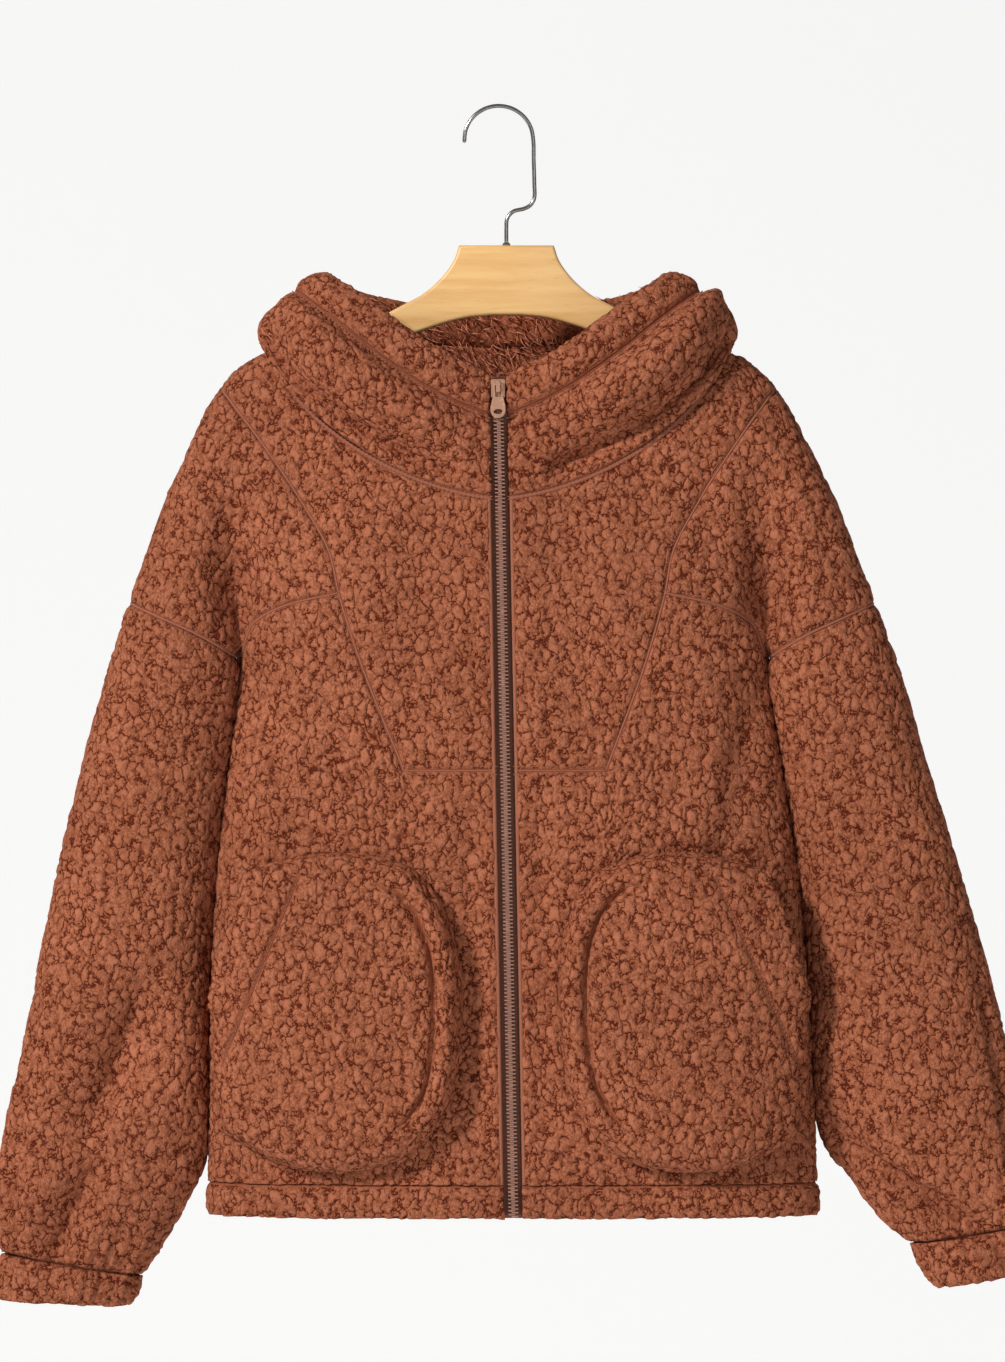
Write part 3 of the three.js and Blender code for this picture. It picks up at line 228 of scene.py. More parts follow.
# Folds of the sleeves: shares of the length, and turns round the tube from the outer edge
# (0.25 is the front, 0.5 the inner edge, 0.75 the back)
SLEEVE_FOLDS = table(
    "side at0 turn0 at1 turn1 deep wide",
    (-1, 0.52, 0.3, 0.8, 0.2, 9, 0.05),
    (-1, 0.8, 0.25, 1.0, 0.2, 8, 0.035),
    (-1, 0.6, 0.07, 1.0, 0.1, 4, 0.02),
    (-1, 0.6, 0.72, 0.98, 0.78, 7, 0.045),
    (1, 0.74, 0.42, 1.0, 0.27, 9, 0.04),
    (1, 0.55, 0.09, 0.95, 0.12, 4, 0.02),
    (1, 0.62, 0.75, 0.98, 0.7, 7, 0.045),
)

# The hood from the zip (f 0) over the shoulder (0.5) to the middle of the back (1): the face edge,
# and how far four points of the section stand outwards and upwards of the straight line to it
HOOD = table(
    "f half y z o1 o2 o3 o4 u1 u2 u3 u4",
    (0, 7, -51, -211, 0, 0, 0, 0, 0, 0, 0, 0),
    (0.12, 34, -54, -197, 3, 5, 6, 4, 0, 0, 0, 0),
    (0.25, 70, -51, -173, 13, 19, 16, 8, -6, -6, -2, 0),
    (0.38, 104, -37, -147, 20, 27, 24, 12, -9, -9, -3, 0),
    (0.5, 131, -7, -128, 20, 26, 20, 15, -2, -1, 1, 2),
    (0.62, 131, 29, -130, 16, 28, 32, 20, -8, -36, -48, -24),
    (0.75, 106, 62, -140, 6, 10, 30, 26, -8, -118, -165, -95),
    (0.88, 57, 84, -148, 2, 2, 26, 28, -8, -150, -222, -132),
    (1, 0, 92, -151, 1, 0, 22, 28, -8, -155, -238, -140),
)
# Troughs (deep above 0) and rolls (below 0) of the hood's outside, from the zip (0) to the middle
# of the back (1) and from the neck seam (0) up to the face edge's band (1)
HOOD_FOLDS = table(
    "side f0 up0 f1 up1 wide deep",
    (-1, 0.1, 0.1, 0.44, 0.24, 10, 11),
    (-1, 0.14, 0.52, 0.44, 0.6, 19, -8),
    (-1, 0.06, 0.84, 0.3, 0.95, 10, 4),
    (1, 0.1, 0.12, 0.42, 0.2, 11, 13),
    (1, 0.2, 0.5, 0.46, 0.54, 19, -15),
    (1, 0.08, 0.84, 0.44, 0.95, 10, 6),
    (-1, 0.66, 0.3, 0.98, 0.36, 22, 7),
    (1, 0.68, 0.34, 0.98, 0.36, 22, 7),
)
HOOD_BAND = 30
HOOD_BAND_PROUD = 1.5
HOOD_BAND_THICK = 6.5
HOOD_BAND_SINK = 3.2
BAND_SWELL = 4.6
BAND_TROUGH = 2.2  # the soft trough where the face edge's band is sewn on
HOOD_ROUND = 400  # along the neck seam of one half
HOOD_UP = 110  # from the neck seam to the band, in front
HOOD_ROWS = 140
HOOD_COLUMNS = 240
HOOD_CELL = 2.4

# Fur inside the hood
FUR_DENSITY = 62000.0  # tufts to a square metre
FUR_SEED = 5
FUR_LEAN = ((-0.9, -0.7, -1.1), (0.9, 0.7, 0.3))
FUR_SIZE = (0.65, 1.25)
FUR_FROM = 0.42  # round the hood, from the zip (0) to the middle of the back (1)
TUFT = dict(length=11.0, radius=0.5, tip=0.12, bend=3.4, sides=3, rows=3)

# Pocket outline on the front
POCKET_TOP = [(52, -614), (76, -590), (112, -580), (155, -580), (198, -592)]
POCKET_INNER = [(62, -796), (45, -765), (37, -705), (40, -650), (52, -614)]
POCKET_BOTTOM = [(62, -796), (88, -817), (130, -826), (175, -821), (222, -798)]
POCKET_SIDE = [(222, -798), (229, -755), (229, -712), (214, -650), (198, -592)]
POCKET_MOUTH_FROM = 0.42
POCKET_FORWARD = 0.35
POCKET_SIDE_GAP = 9

# How far the pocket stands off by the distance from its sewn edge: beside the zip the side strip
# rolls over, dips at its seam and the front of the pocket rises from there; elsewhere it is plain
POCKET_PROFILE = table(
    "off stand plain",
    (0, 0.4, 0.4), (2, 7, 6.5), (6, 15, 13), (12, 19, 17), (17.5, 18, 18.4), (21.5, 12, 19),
    (25.5, 18.5, 19.6), (42, 21, 21), (90, 23, 23),
)
POCKET_GROOVE = dict(off=21.5, half=76, fade=36, low=-804, rise=34)  # where the front's seam shows
MOUTH_STITCH = [(160, -600), (219, -742)]  # the stitching of the mouth's hem
MOUTH_HEM = 29  # how far the mouth's thicker hem reaches
MOUTH_LIP = 2.4
STITCH_GROOVE = dict(deep=2.6, wide=3.4)

# Hem band
HEM_PROUD = 1.5
HEM_INSIDE = 5.5
HEM_DIP = 1.6  # of its upper edge into the seam
HEM_TURN = 2.2  # how far its lower edge turns in

# Seam ridges and stitches
WIDE_RIDGE = 1.2  # a binding this wide has its stitching on it, not beside it
RIDGE_SINK = 1.9
BAND_RIDGE = dict(half_width=0.7, height=0.6, sink=2.6)
SIDE_RIDGE = dict(half_width=1.6, height=2.2, sink=0.4)
ZIP_RIDGE = dict(half_width=1.5, height=1.2, sink=RIDGE_SINK)
HOOD_RIDGE = dict(half_width=1.1, height=1.1, sink=1.2)
SIDE_RIDGE_LENGTH = 20
ZIP_FOLD = 1.7  # from the zip edge to the fold of the cloth beside it
ZIP_STITCH = 5.2
HEM_STITCH = -842
STITCH_OFF = 3.1  # from a seam to the stitching beside it
STITCH_PITCH = 3.4
STITCH_RADIUS = 0.5

# Zip
TAPE = dict(start=0.15, end=15, behind=5.9, thick=1)
TAPE_CORD = dict(high=0.8, at=4.4, wide=0.9)
TEETH = dict(pitch=2.9, width=5.4, height=1.25, depth=3.4, outer=3.9, front=-0.5)
CHAIN = dict(half=3.4, front=0.8, back=5.6, top=-229)
SLIDER = dict(half=5.4, top=-214, bottom=-228.6, proud=2, back=5.6)
BRIDGE = dict(half=1.5, top=-215.2, bottom=-224.5, reach=4.4, bar=1.2)
PULL = dict(pivot=-218.4, out=1.55, thick=1.6, narrow=3.6, wide=5.8, length=26, slot=2.3, bar=0.8)
PULL_SLOT_LENGTH = 9.5
PULL_HOLE = dict(half=3.4, down=21)
METAL_ROUND = 0.3

# Hanger
HANGER_X = 5
HANGER_THICK = 13
HANGER_ROUND = 2.6
HANGER_NECK = [
    (37, -107.5), (41, -119), (47.6, -129), (56, -138), (66, -146), (80, -153.5), (97, -162.5),
    (130, -178), (162, -197),
]
HANGER_UNDER = [
    (206, -228), (180, -219), (130, -199.5), (96, -186), (75, -177.5), (57, -171), (32, -164), (12, -161.8),
]
HANGER_SEAT = [172, 182, 192, 202]  # where the arms carry the shoulders
HANGER_TIP = dict(x=209, drop=9)
SEAT_LOWEST = -262
SEAT_CLEARANCE = 3.4
HANGER_TOP = -107.5

# Hook
WIRE = 1.6
HOOK_BEND = dict(x=-1, radius=27)
HOOK_TIP_ANGLE = 184
HOOK_LEG = 26
FERRULE = dict(radius=3.2, height=2.4)

# Camera and studio, in metres
CAMERA_DISTANCE = 4.5
PHOTO_SCALE = 0.00078  # metres to a pixel of the picture
PHOTO_SIZE = (1005, 1362)
CAMERA_X = 0.00197
CAMERA_Z = -0.447
SWEEP = dict(floor=-2.6, front=-6.0, back=5.6, top=3.4, half_width=6.5, radius=0.8)
PAPER = ((0.45, 0.45, 0.448, 1), (0.46, 0.46, 0.458, 1))
PAPER_GLOW = 0.60
SURROUND = dict(colour=(0.95, 0.97, 1.0, 1), strength=0.17)
KEY_LIGHT = dict(place=(-4.8, -4.8, 3.2), side=1.0, power=490, colour=(1.0, 0.985, 0.96))
FILL_LIGHT = dict(place=(1.8, -5.5, 0.6), side=2.4, power=36, colour=(1, 1, 1))

# Colours, as shares of full brightness on screen
FLEECE_BODY = (0.668, 0.392, 0.273)
# lighter colour of the curls' raised parts, a painted highlight; also the sheen's tint and the thread's fuzz
FLEECE_TIP = (0.715, 0.440, 0.325)
# painted shade in the cracks between the curls
FLEECE_CRACK_SHADE = (0.310, 0.080, 0.018)
FUR_BODY = (0.900, 0.545, 0.405)
FUR_TIP = (0.960, 0.670, 0.550)
FUR_DEEP = (0.480, 0.215, 0.125)
THREAD = (0.575, 0.318, 0.212)
TAPE_COLOUR = (0.660, 0.430, 0.335)
TOOTH_COLOUR = (0.590, 0.425, 0.360)
PULL_COLOUR = (0.745, 0.560, 0.455)
WOOD_LIGHT = (0.980, 0.795, 0.530)
WOOD_DARK = (0.895, 0.660, 0.380)
STEEL = (0.690, 0.680, 0.660)
STEEL_LINE = (0.560, 0.550, 0.535)


def linear(colour):
    """Turns screen brightness into light."""
    return tuple(c / 12.92 if c <= 0.04045 else ((c + 0.055) / 1.055) ** 2.4 for c in colour) + (1.0,)


# Interpolation


def mix(a, b, t):
    return a + (b - a) * t


def smooth(t):
    c = np.clip(t, 0, 1)
    return c * c * (3 - 2 * c)


def unit(vectors):
    """The same directions, with the length 1."""
    return vectors / np.maximum(np.linalg.norm(vectors, axis=-1, keepdims=True), 1e-9)


def reader(rows, key, value):
    """A smooth curve through a table's rows that never overshoots them."""
    rows = sorted(rows, key=lambda row: row[key])
    x = np.array([row[key] for row in rows], float)
    y = np.array([row[value] for row in rows], float)
    slope = np.diff(y) / np.diff(x)
    tangent = np.concatenate([slope[:1], np.zeros(len(x) - 2), slope[-1:]])
    for i in range(1, len(x) - 1):
        if slope[i - 1] * slope[i] > 0:
            tangent[i] = 2 * slope[i - 1] * slope[i] / (slope[i - 1] + slope[i])

    def read(at):
        a = np.clip(at, x[0], x[-1])
        i = np.clip(np.searchsorted(x, a, side="right") - 1, 0, len(x) - 2)
        width = x[i + 1] - x[i]
        t = (a - x[i]) / width
        t2, t3 = t * t, t * t * t
        ends = y[i] * (2 * t3 - 3 * t2 + 1) + y[i + 1] * (3 * t2 - 2 * t3)
        return ends + tangent[i] * width * (t3 - 2 * t2 + t) + tangent[i + 1] * width * (t3 - t2)

    return read


def readers(rows, key):
    """A curve through every other column of a table."""
    return {name: reader(rows, key, name) for name in rows[0] if name != key}


shoulder_half = reader(SHOULDER_LINE, "z", "half")
trunk_half = reader(TRUNK, "z", "half")
front_depth = reader(TRUNK, "z", "front")
back_depth = reader(TRUNK, "z", "back")
yoke_half = reader(YOKE_SEAM, "z", "half")
shoulder_hem_z = reader(SHOULDER_HEM, "half", "z")
sleeve_seam_z = reader(SLEEVE_SEAM, "half", "z")
pocket_stand = reader(POCKET_PROFILE, "off", "stand")
pocket_plain = reader(POCKET_PROFILE, "off", "plain")


def middle(z):
    t = np.clip((z - NECK_SIDE) / (HEM - NECK_SIDE), 0, 1)
    return mix(MIDDLE_AT_NECK, MIDDLE_AT_HEM, t)


def catmull(points, count):
    """Evenly spaced points on a smooth line through points of any dimension."""
    p = np.array(points, float)
    p = np.vstack([2 * p[0] - p[1], p, 2 * p[-1] - p[-2]])
    gaps = np.sqrt(np.linalg.norm(np.diff(p, axis=0), axis=1))
    knots = np.concatenate([[0], np.cumsum(np.maximum(gaps, 1e-6))])
    line = []
    for i in range(1, len(p) - 2):
        t0, t1, t2, t3 = knots[i - 1 : i + 3]
        t = np.linspace(t1, t2, 24, endpoint=i == len(p) - 3)[:, None]
        a1 = (t1 - t) / (t1 - t0) * p[i - 1] + (t - t0) / (t1 - t0) * p[i]
        a2 = (t2 - t) / (t2 - t1) * p[i] + (t - t1) / (t2 - t1) * p[i + 1]
        a3 = (t3 - t) / (t3 - t2) * p[i + 1] + (t - t2) / (t3 - t2) * p[i + 2]
        b1 = (t2 - t) / (t2 - t0) * a1 + (t - t0) / (t2 - t0) * a2
        b2 = (t3 - t) / (t3 - t1) * a2 + (t - t1) / (t3 - t1) * a3
        line.append((t2 - t) / (t2 - t1) * b1 + (t - t1) / (t2 - t1) * b2)
    return evenly(np.vstack(line), count)


def evenly(line, count, measure=None):
    """Places count + 1 points evenly along a line, by its own length or that of measure."""
    steps = np.linalg.norm(np.diff(line if measure is None else measure, axis=0), axis=1)
    length = np.concatenate([[0], np.cumsum(steps)])
    at = np.linspace(0, length[-1], count + 1)
    return np.stack([np.interp(at, length, line[:, k]) for k in range(line.shape[1])], -1)


def distance_to(line, points):
    """The distance of points in a plane from a line of points."""
    best = np.full(points.shape[:-1], 1e9)
    for a, b in zip(line[:-1], line[1:]):
        along = b - a
        t = np.clip(((points - a) @ along) / max(along @ along, 1e-9), 0, 1)
        best = np.minimum(best, np.linalg.norm(points - a - t[..., None] * along, axis=-1))
    return best


def soft_line(row, ends, place):
    """Depth of one soft fold along a line, as its row says."""
    off = distance_to(np.array(ends, float), place) / row["wide"]
    return row["deep"] * np.exp(-(off**2))


# The trunk's surface


def lobe(p):
    inside = 1 - np.minimum(np.abs(p), 0.999999) ** FULLNESS
    return inside ** (1 / FULLNESS)


def fold(half, z):
    """How much of the full depth is left: less in the fold above the armpit."""
    outer = shoulder_half(z)
    half = np.minimum(half, outer)
    centre, reach = (ARMPIT_HALF + outer) / 2, (outer - ARMPIT_HALF) / 2
    head = SLEEVE_HEAD_DEPTH / front_depth(z) * lobe((half - centre) / np.maximum(reach, 1))
    pinched = np.where(half < ARMPIT_HALF, lobe(half / ARMPIT_HALF), head) / lobe(half / outer)
    valley = FOLD_DEPTH * smooth((FOLD_TOP - z) / (FOLD_TOP - ARMPIT))
    soft = 1 - valley * np.exp(-(((half - ARMPIT_HALF) / FOLD_WIDTH) ** 2))
    return mix(np.maximum(pinched, PINCH), soft, smooth((z - ARMPIT) / (FOLD_SOFT - ARMPIT)))


def section(half, z, depth):
    upper = z > ARMPIT
    width = np.where(upper, shoulder_half(z), trunk_half(z))
    return width, depth(z) * np.where(upper, fold(half, z), 1)


def level(half, y, z, depth):
    width, thick = section(half, z, depth)
    return (half / width) ** FULLNESS + (y / thick) ** FULLNESS - 1


def relief(side, half, z, face):
    """Depth of the soft folds of the trunk, fading out at its middle, where both sides meet."""
    total = np.zeros(np.broadcast(half, z).shape)
    place = np.stack(np.broadcast_arrays(half, z), -1)
    for row in TRUNK_FOLDS:
        if (row["face"], row["side"]) == (face, side):
            ends = [(row["half0"], row["z0"]), (row["half1"], row["z1"])]
            total -= soft_line(row, ends, place)
    return total * smooth(half / MIDDLE_CALM)


def on_trunk(side, half, z, face, folds=True):
    """Points of the front (face -1) or back (face 1) and the directions out of the cloth."""
    half, z = np.broadcast_arrays(np.asarray(half, float), np.asarray(z, float))
    depth = front_depth if face < 0 else back_depth
    width, thick = section(half, z, depth)
    y = thick * lobe(half / width)
    step = 0.5
    away = np.maximum(half, step)
    normal = np.stack(
        [
            side * (level(away + step, y, z, depth) - level(away - step, y, z, depth)),
            face * (level(half, y + step, z, depth) - level(half, np.maximum(y - step, 0), z, depth)),
            level(half, y, z + step, depth) - level(half, y, z - step, depth),
        ],
        -1,
    )
    normal[..., 0] *= np.clip(half / (2 * step), 0, 1)
    normal[..., 1] = np.where(y < step, 0, normal[..., 1])
    normal = unit(normal)
    point = np.stack([middle(z) + side * half, face * np.maximum(y, SIDE_GAP), z], -1)
    if folds:
        calm = smooth((y - EDGE_CALM["start"]) / EDGE_CALM["reach"])
        point += normal * (relief(side, half, z, face) * calm)[..., None]
    return point, normal


# Patches


def fill(bottom, top, left, right):
    """Fills a patch from its four edges."""
    s = np.linspace(0, 1, len(bottom))[None, :, None]
    t = np.linspace(0, 1, len(left))[:, None, None]
    edges = mix(bottom[None], top[None], t) + mix(left[:, None], right[:, None], s)
    return edges - mix(mix(bottom[0], bottom[-1], s), mix(top[0], top[-1], s), t)


def pull_back(grid, edges):
    """Draws the named edges of a patch back from their seams."""
    moved = grid.copy()
    ends = dict(bottom=((0, slice(None)), (1, slice(None))), top=((-1, slice(None)), (-2, slice(None))))
    ends.update(left=((slice(None), 0), (slice(None), 1)), right=((slice(None), -1), (slice(None), -2)))
    for name in edges:
        here, beside = (grid[index] for index in ends[name])
        inwards = unit(beside - here)
        along = unit(np.gradient(here, axis=0))
        slant = np.abs(inwards[:, 0] * along[:, 1] - inwards[:, 1] * along[:, 0])
        moved[ends[name][0]] += inwards * (SEAM / np.maximum(slant, 0.3))[:, None]
    return moved


def cells(length, spacing):
    return INNER * max(1, round(length / spacing / INNER))


def in_space(line, face=-1):
    return on_trunk(1, line[:, 0], line[:, 1], face, folds=False)[0]


def length_of(line, face=-1):
    return np.linalg.norm(np.diff(in_space(line, face), axis=0), axis=1).sum()


def spaced(line, count, face=-1):
    """Spaces a seam line evenly over the cloth."""
    return evenly(line, count, in_space(line, face))


def joined(lines, count, face=-1):
    """Spaces several lines end to end, keeping the corners between them."""
    lengths = np.cumsum([length_of(line, face) for line in lines])
    ends = [0, *(int(round(count * length / lengths[-1])) for length in lengths)]
    parts = [spaced(line, b - a, face) for line, a, b in zip(lines, ends, ends[1:])]
    return np.vstack([parts[0], *(part[1:] for part in parts[1:])])


SAMPLES = np.linspace(0, 1, 400)


def straight(a, b):
    return mix(np.array(a, float), np.array(b, float), SAMPLES[:, None])


def neck_line(drop, roundness, start):
    angle = mix(start, math.pi / 2, SAMPLES)
    half = NECK_HALF * np.sin(angle) ** (2 / roundness)
    return np.stack([half, NECK_SIDE - drop * np.maximum(np.cos(angle), 0) ** (2 / roundness)], -1)


def level_line(read, z0, z1):
    z = mix(z0, z1, SAMPLES)
    return np.stack([read(z), z], -1)


def seam_line(read, half0, half1):
    half = mix(half0, half1, SAMPLES)
    return np.stack([half, read(half)], -1)


NECK_START = math.asin((ZIP_HALF / NECK_HALF) ** (NECK_ROUND / 2))
front_neck = neck_line(NECK_SIDE - NECK_FRONT, NECK_ROUND, NECK_START)
back_neck = neck_line(NECK_SIDE - NECK_BACK, 2, 0)
yoke_bottom = straight((ZIP_HALF, YOKE_HEM), (YOKE_HEM_HALF, YOKE_HEM))
yoke_low = level_line(yoke_half, YOKE_HEM, YOKE_JOIN)
yoke_high = level_line(yoke_half, YOKE_JOIN, YOKE_CORNER)
shoulder_hem = seam_line(shoulder_hem_z, YOKE_JOIN_HALF, ARMPIT_HALF)
sleeve_seam = seam_line(sleeve_seam_z, ARMPIT_HALF, SLEEVE_TOP_HALF)
zip_upper = straight((ZIP_HALF, YOKE_HEM), (ZIP_HALF, NECK_FRONT))
zip_lower = straight((ZIP_HALF, HEM_SEAM), (ZIP_HALF, YOKE_HEM))
FRONT_SEAMS = [front_neck, yoke_bottom, yoke_low, yoke_high, shoulder_hem, sleeve_seam]
ZIP_EDGES = [zip_upper, zip_lower]
BACK_SEAMS = [back_neck, sleeve_seam]


def off_seams(grid, seams):
    return np.min([distance_to(line[::8], grid) for line in seams], axis=0)


def seam_dip(off):
    """The cloth is drawn in along a seam."""
    return -SEAM_DIP["deep"] * (1 - smooth(off / SEAM_DIP["reach"]))


def seam_pile(off):
    """The curls are flattened beside a seam; the fleece material also paints shade where they are flattened.
    """
    return mix(SEAM_PILE, 1, smooth((off - SEAM_PILE_RISE["start"]) / SEAM_PILE_RISE["reach"]))


def pile_rows(off, net):
    """The pile of a net whose rows lie at these distances from a seam."""
    return np.broadcast_to(seam_pile(off)[:, None], net.shape[:2])


# Meshes

def numbered(rows, columns, start=0):
    return start + np.arange(rows * columns).reshape(rows, columns)


def wrapped(net):
    """A net with its first column repeated at its end."""
    return np.concatenate([net, net[:, :1]], axis=1)


def net_faces(ids, turned=False):
    """Four-sided faces of a net of point numbers."""
    faces = np.stack([ids[:-1, :-1], ids[:-1, 1:], ids[1:, 1:], ids[1:, :-1]], -1).reshape(-1, 4)
    return (faces[:, [0, 3, 2, 1]] if turned else faces).tolist()


def new_object(name, data):
    made = bpy.data.objects.new(name, data)
    bpy.context.scene.collection.objects.link(made)
    return made


def patch_mesh(outer, inner, pile, open_sides, wraps=False):
    """Points, faces and pile of a patch: fine outside, coarser inside, closed along its open sides."""
    rows, columns = outer.shape[:2]
    thin = inner[::INNER, ::INNER]
    ids = numbered(rows, columns)
    low = numbered(*thin.shape[:2], start=rows * columns)
    if wraps:
        ids, low = wrapped(ids), wrapped(low)
    faces = net_faces(ids) + net_faces(low, turned=True)
    edges = dict(
        bottom=(ids[0], low[0], True),
        top=(ids[-1], low[-1], False),
        left=(ids[:, 0], low[:, 0], False),
        right=(ids[:, -1], low[:, -1], True),
    )
    for side in open_sides:
        edge, rim, backwards = edges[side]
        for i in range(len(rim) - 1):
            stretch = edge[i * INNER : (i + 1) * INNER + 1].tolist()
            if backwards:
                faces.append(stretch[::-1] + [int(rim[i]), int(rim[i + 1])])
            else:
                faces.append(stretch + [int(rim[i + 1]), int(rim[i])])
    points = np.vstack([outer.reshape(-1, 3), thin.reshape(-1, 3)])
    inside = np.full(thin.shape[0] * thin.shape[1], 0.5)
    a, b = outer[rows // 2, columns // 2], outer[rows // 2, columns // 2 + 1]
    c = outer[rows // 2 + 1, columns // 2]
    facing = np.cross(b - a, c - a) @ (a - inner[rows // 2, columns // 2])
    if facing < 0:
        faces = [face[::-1] for face in faces]
    return points, faces, np.concatenate([pile.ravel(), inside])


def mesh_object(name, points, faces, pile=None):
    """An object from points in millimetres, with its rest place kept for the materials."""
    mesh = bpy.data.meshes.new(name)
    points = np.asarray(points, float) * MM
    mesh.from_pydata(points.tolist(), [], faces)
    mesh.attributes.new("rest", "FLOAT_VECTOR", "POINT").data.foreach_set("vector", points.ravel())
    if pile is not None:
        mesh.attributes.new("pile", "FLOAT", "POINT").data.foreach_set("value", pile)
    mesh.polygons.foreach_set("use_smooth", [True] * len(mesh.polygons))
    return new_object(name, mesh)


def shell(patches):
    """Points, faces and pile of one closed wall from patches that share their edges."""
    points, faces, pile = [], [], []
    for patch_points, patch_faces, patch_pile in patches:
        start = sum(len(p) for p in points)
        points.append(patch_points)
        faces += [[start + i for i in face] for face in patch_faces]
        pile.append(patch_pile)
    points, pile = np.vstack(points), np.concatenate(pile)
    if len(patches) > 1:
        _, first, index = np.unique(
            np.round(points * 40).astype(int), axis=0, return_index=True, return_inverse=True
        )
        index = index.ravel()
        faces = [[int(index[i]) for i in face] for face in faces]
        points, pile = points[first], pile[first]
    return points, faces, pile


def area_of(outer, wraps=False):
    """The area of a grid of points, in square metres."""
    if wraps:
        outer = wrapped(outer)
    a = outer[:-1, 1:] - outer[:-1, :-1]
    b = outer[1:, :-1] - outer[:-1, :-1]
    return float(np.linalg.norm(np.cross(a, b), axis=-1).sum() * MM * MM)


# Node trees


def feed(tree, made, inputs):
    """Links or sets inputs of a node."""
    for name, value in inputs.items():
        if isinstance(value, bpy.types.NodeSocket):
            tree.links.new(value, made.inputs[name])
        else:
            made.inputs[name].default_value = value
    return made


def node(tree, kind, inputs=None, **settings):
    """Adds a node, sets it up and feeds its inputs."""
    made = tree.nodes.new(kind)
    for key, value in settings.items():
        setattr(made, key, value)
    return feed(tree, made, inputs or {})


def math_node(tree, operation, a, b=0.0, clamp=False):
    made = node(tree, "ShaderNodeMath", {0: a, 1: b}, operation=operation, use_clamp=clamp)
    return made.outputs[0]


def times(tree, a, b):
    return math_node(tree, "MULTIPLY", a, b)


def vector_node(tree, operation, *values):
    made = node(tree, "ShaderNodeVectorMath", dict(enumerate(values)), operation=operation)
    return made.outputs[0]


def ramp(tree, value, low, high, to_low=0.0, to_high=1.0):
    """A smooth step from one value to another."""
    inputs = {"Value": value, "From Min": low, "From Max": high, "To Min": to_low, "To Max": to_high}
    return node(tree, "ShaderNodeMapRange", inputs, interpolation_type="SMOOTHSTEP").outputs["Result"]


def noise(tree, place, scale, detail=2.0, roughness=0.5, out=0):
    inputs = {"Vector": place, "Scale": scale, "Detail": detail, "Roughness": roughness}
    return node(tree, "ShaderNodeTexNoise", inputs).outputs[out]


def edge_distance(tree, place, scale):
    inputs = {"Vector": place, "Scale": scale, "Randomness": 1.0}
    settings = dict(voronoi_dimensions="3D", feature="DISTANCE_TO_EDGE")
    return node(tree, "ShaderNodeTexVoronoi", inputs, **settings).outputs["Distance"]


def pile_field(tree, rest):
    """Round bumps of the cloth, the height of the curls, and the mask of painted shade in the cracks between
    them.
    """
    wander = noise(tree, rest, WANDER_SCALE, 3.0, 0.62, "Color")
    centred = vector_node(tree, "SUBTRACT", wander, (0.5, 0.5, 0.5))
    stretched = vector_node(tree, "MULTIPLY", rest, (1.0, 1.0, CURL_SQUEEZE))
    place = vector_node(tree, "MULTIPLY_ADD", centred, (WANDER,) * 3, stretched)
    wide = edge_distance(tree, place, 1000 / CURL)
    small = edge_distance(tree, place, 1000 / SMALL_CURL)
    patchy = noise(tree, rest, PATCHY_SCALE, 1.0)
    lumps = noise(tree, rest, LUMP_SCALE, 1.0)
    apart = ramp(tree, patchy, 0.34, 0.52)
    there = ramp(tree, patchy, 0.60, 0.44)
    between = times(tree, ramp(tree, wide, 0.0, 0.3, 1.0, 0.0), apart)
    low = times(tree, ramp(tree, small, 0.0, 0.3, 1.0, 0.0), there)
    sunk = times(tree, between, 0.4)
    bumps = math_node(tree, "SUBTRACT", math_node(tree, "ADD", lumps, 0.42), sunk)
    sunk = math_node(tree, "ADD", sunk, times(tree, low, 0.12))
    height = math_node(tree, "SUBTRACT", times(tree, lumps, 0.35), sunk)
    height = math_node(tree, "ADD", height, 0.6)
    # painted shade of the cracks: full in the wide cracks, half in the small ones
    deep = times(tree, ramp(tree, wide, 0.02, 0.115, 1.0, 0.0), apart)
    fine = times(tree, ramp(tree, small, 0.0, 0.14, 0.5, 0.0), there)
    return bumps, height, math_node(tree, "MAXIMUM", deep, fine)


def geometry_tree(name, sockets=()):
    tree = bpy.data.node_groups.new(name, "GeometryNodeTree")
    tree.is_modifier = True
    tree.interface.new_socket("Geometry", in_out="INPUT", socket_type="NodeSocketGeometry")
    for label, kind, value in sockets:
        made = tree.interface.new_socket(label, in_out="INPUT", socket_type=kind)
        if value is not None:
            made.default_value = value
    tree.interface.new_socket("Geometry", in_out="OUTPUT", socket_type="NodeSocketGeometry")
    start = tree.nodes.new("NodeGroupInput")
    end = tree.nodes.new("NodeGroupOutput")
    return tree, start, end


def close_tree(tree, end, geometry, material):
    """Every tree ends by making its instances real and setting their material."""
    real = node(tree, "GeometryNodeRealizeInstances", {0: geometry})
    painted = node(tree, "GeometryNodeSetMaterial", {0: real.outputs[0], "Material": material})
    tree.links.new(painted.outputs[0], end.inputs[0])


def grown(source, tree, values, smooth_faces=True):
    """Runs a tree on an object and keeps the result as its plain mesh."""
    modifier = source.modifiers.new("grow", "NODES")
    modifier.node_group = tree
    names = {item.name: item.identifier for item in tree.interface.items_tree if item.in_out == "INPUT"}
    for name, value in values.items():
        modifier[names[name]] = value
    graph = bpy.context.evaluated_depsgraph_get()
    mesh = bpy.data.meshes.new_from_object(
        source.evaluated_get(graph), preserve_all_data_layers=True, depsgraph=graph
    )
    source.modifiers.clear()
    old = source.data
    source.data = mesh
    mesh.name = source.name
    bpy.data.meshes.remove(old)
    if smooth_faces:
        mesh.polygons.foreach_set("use_smooth", [True] * len(mesh.polygons))
    return source


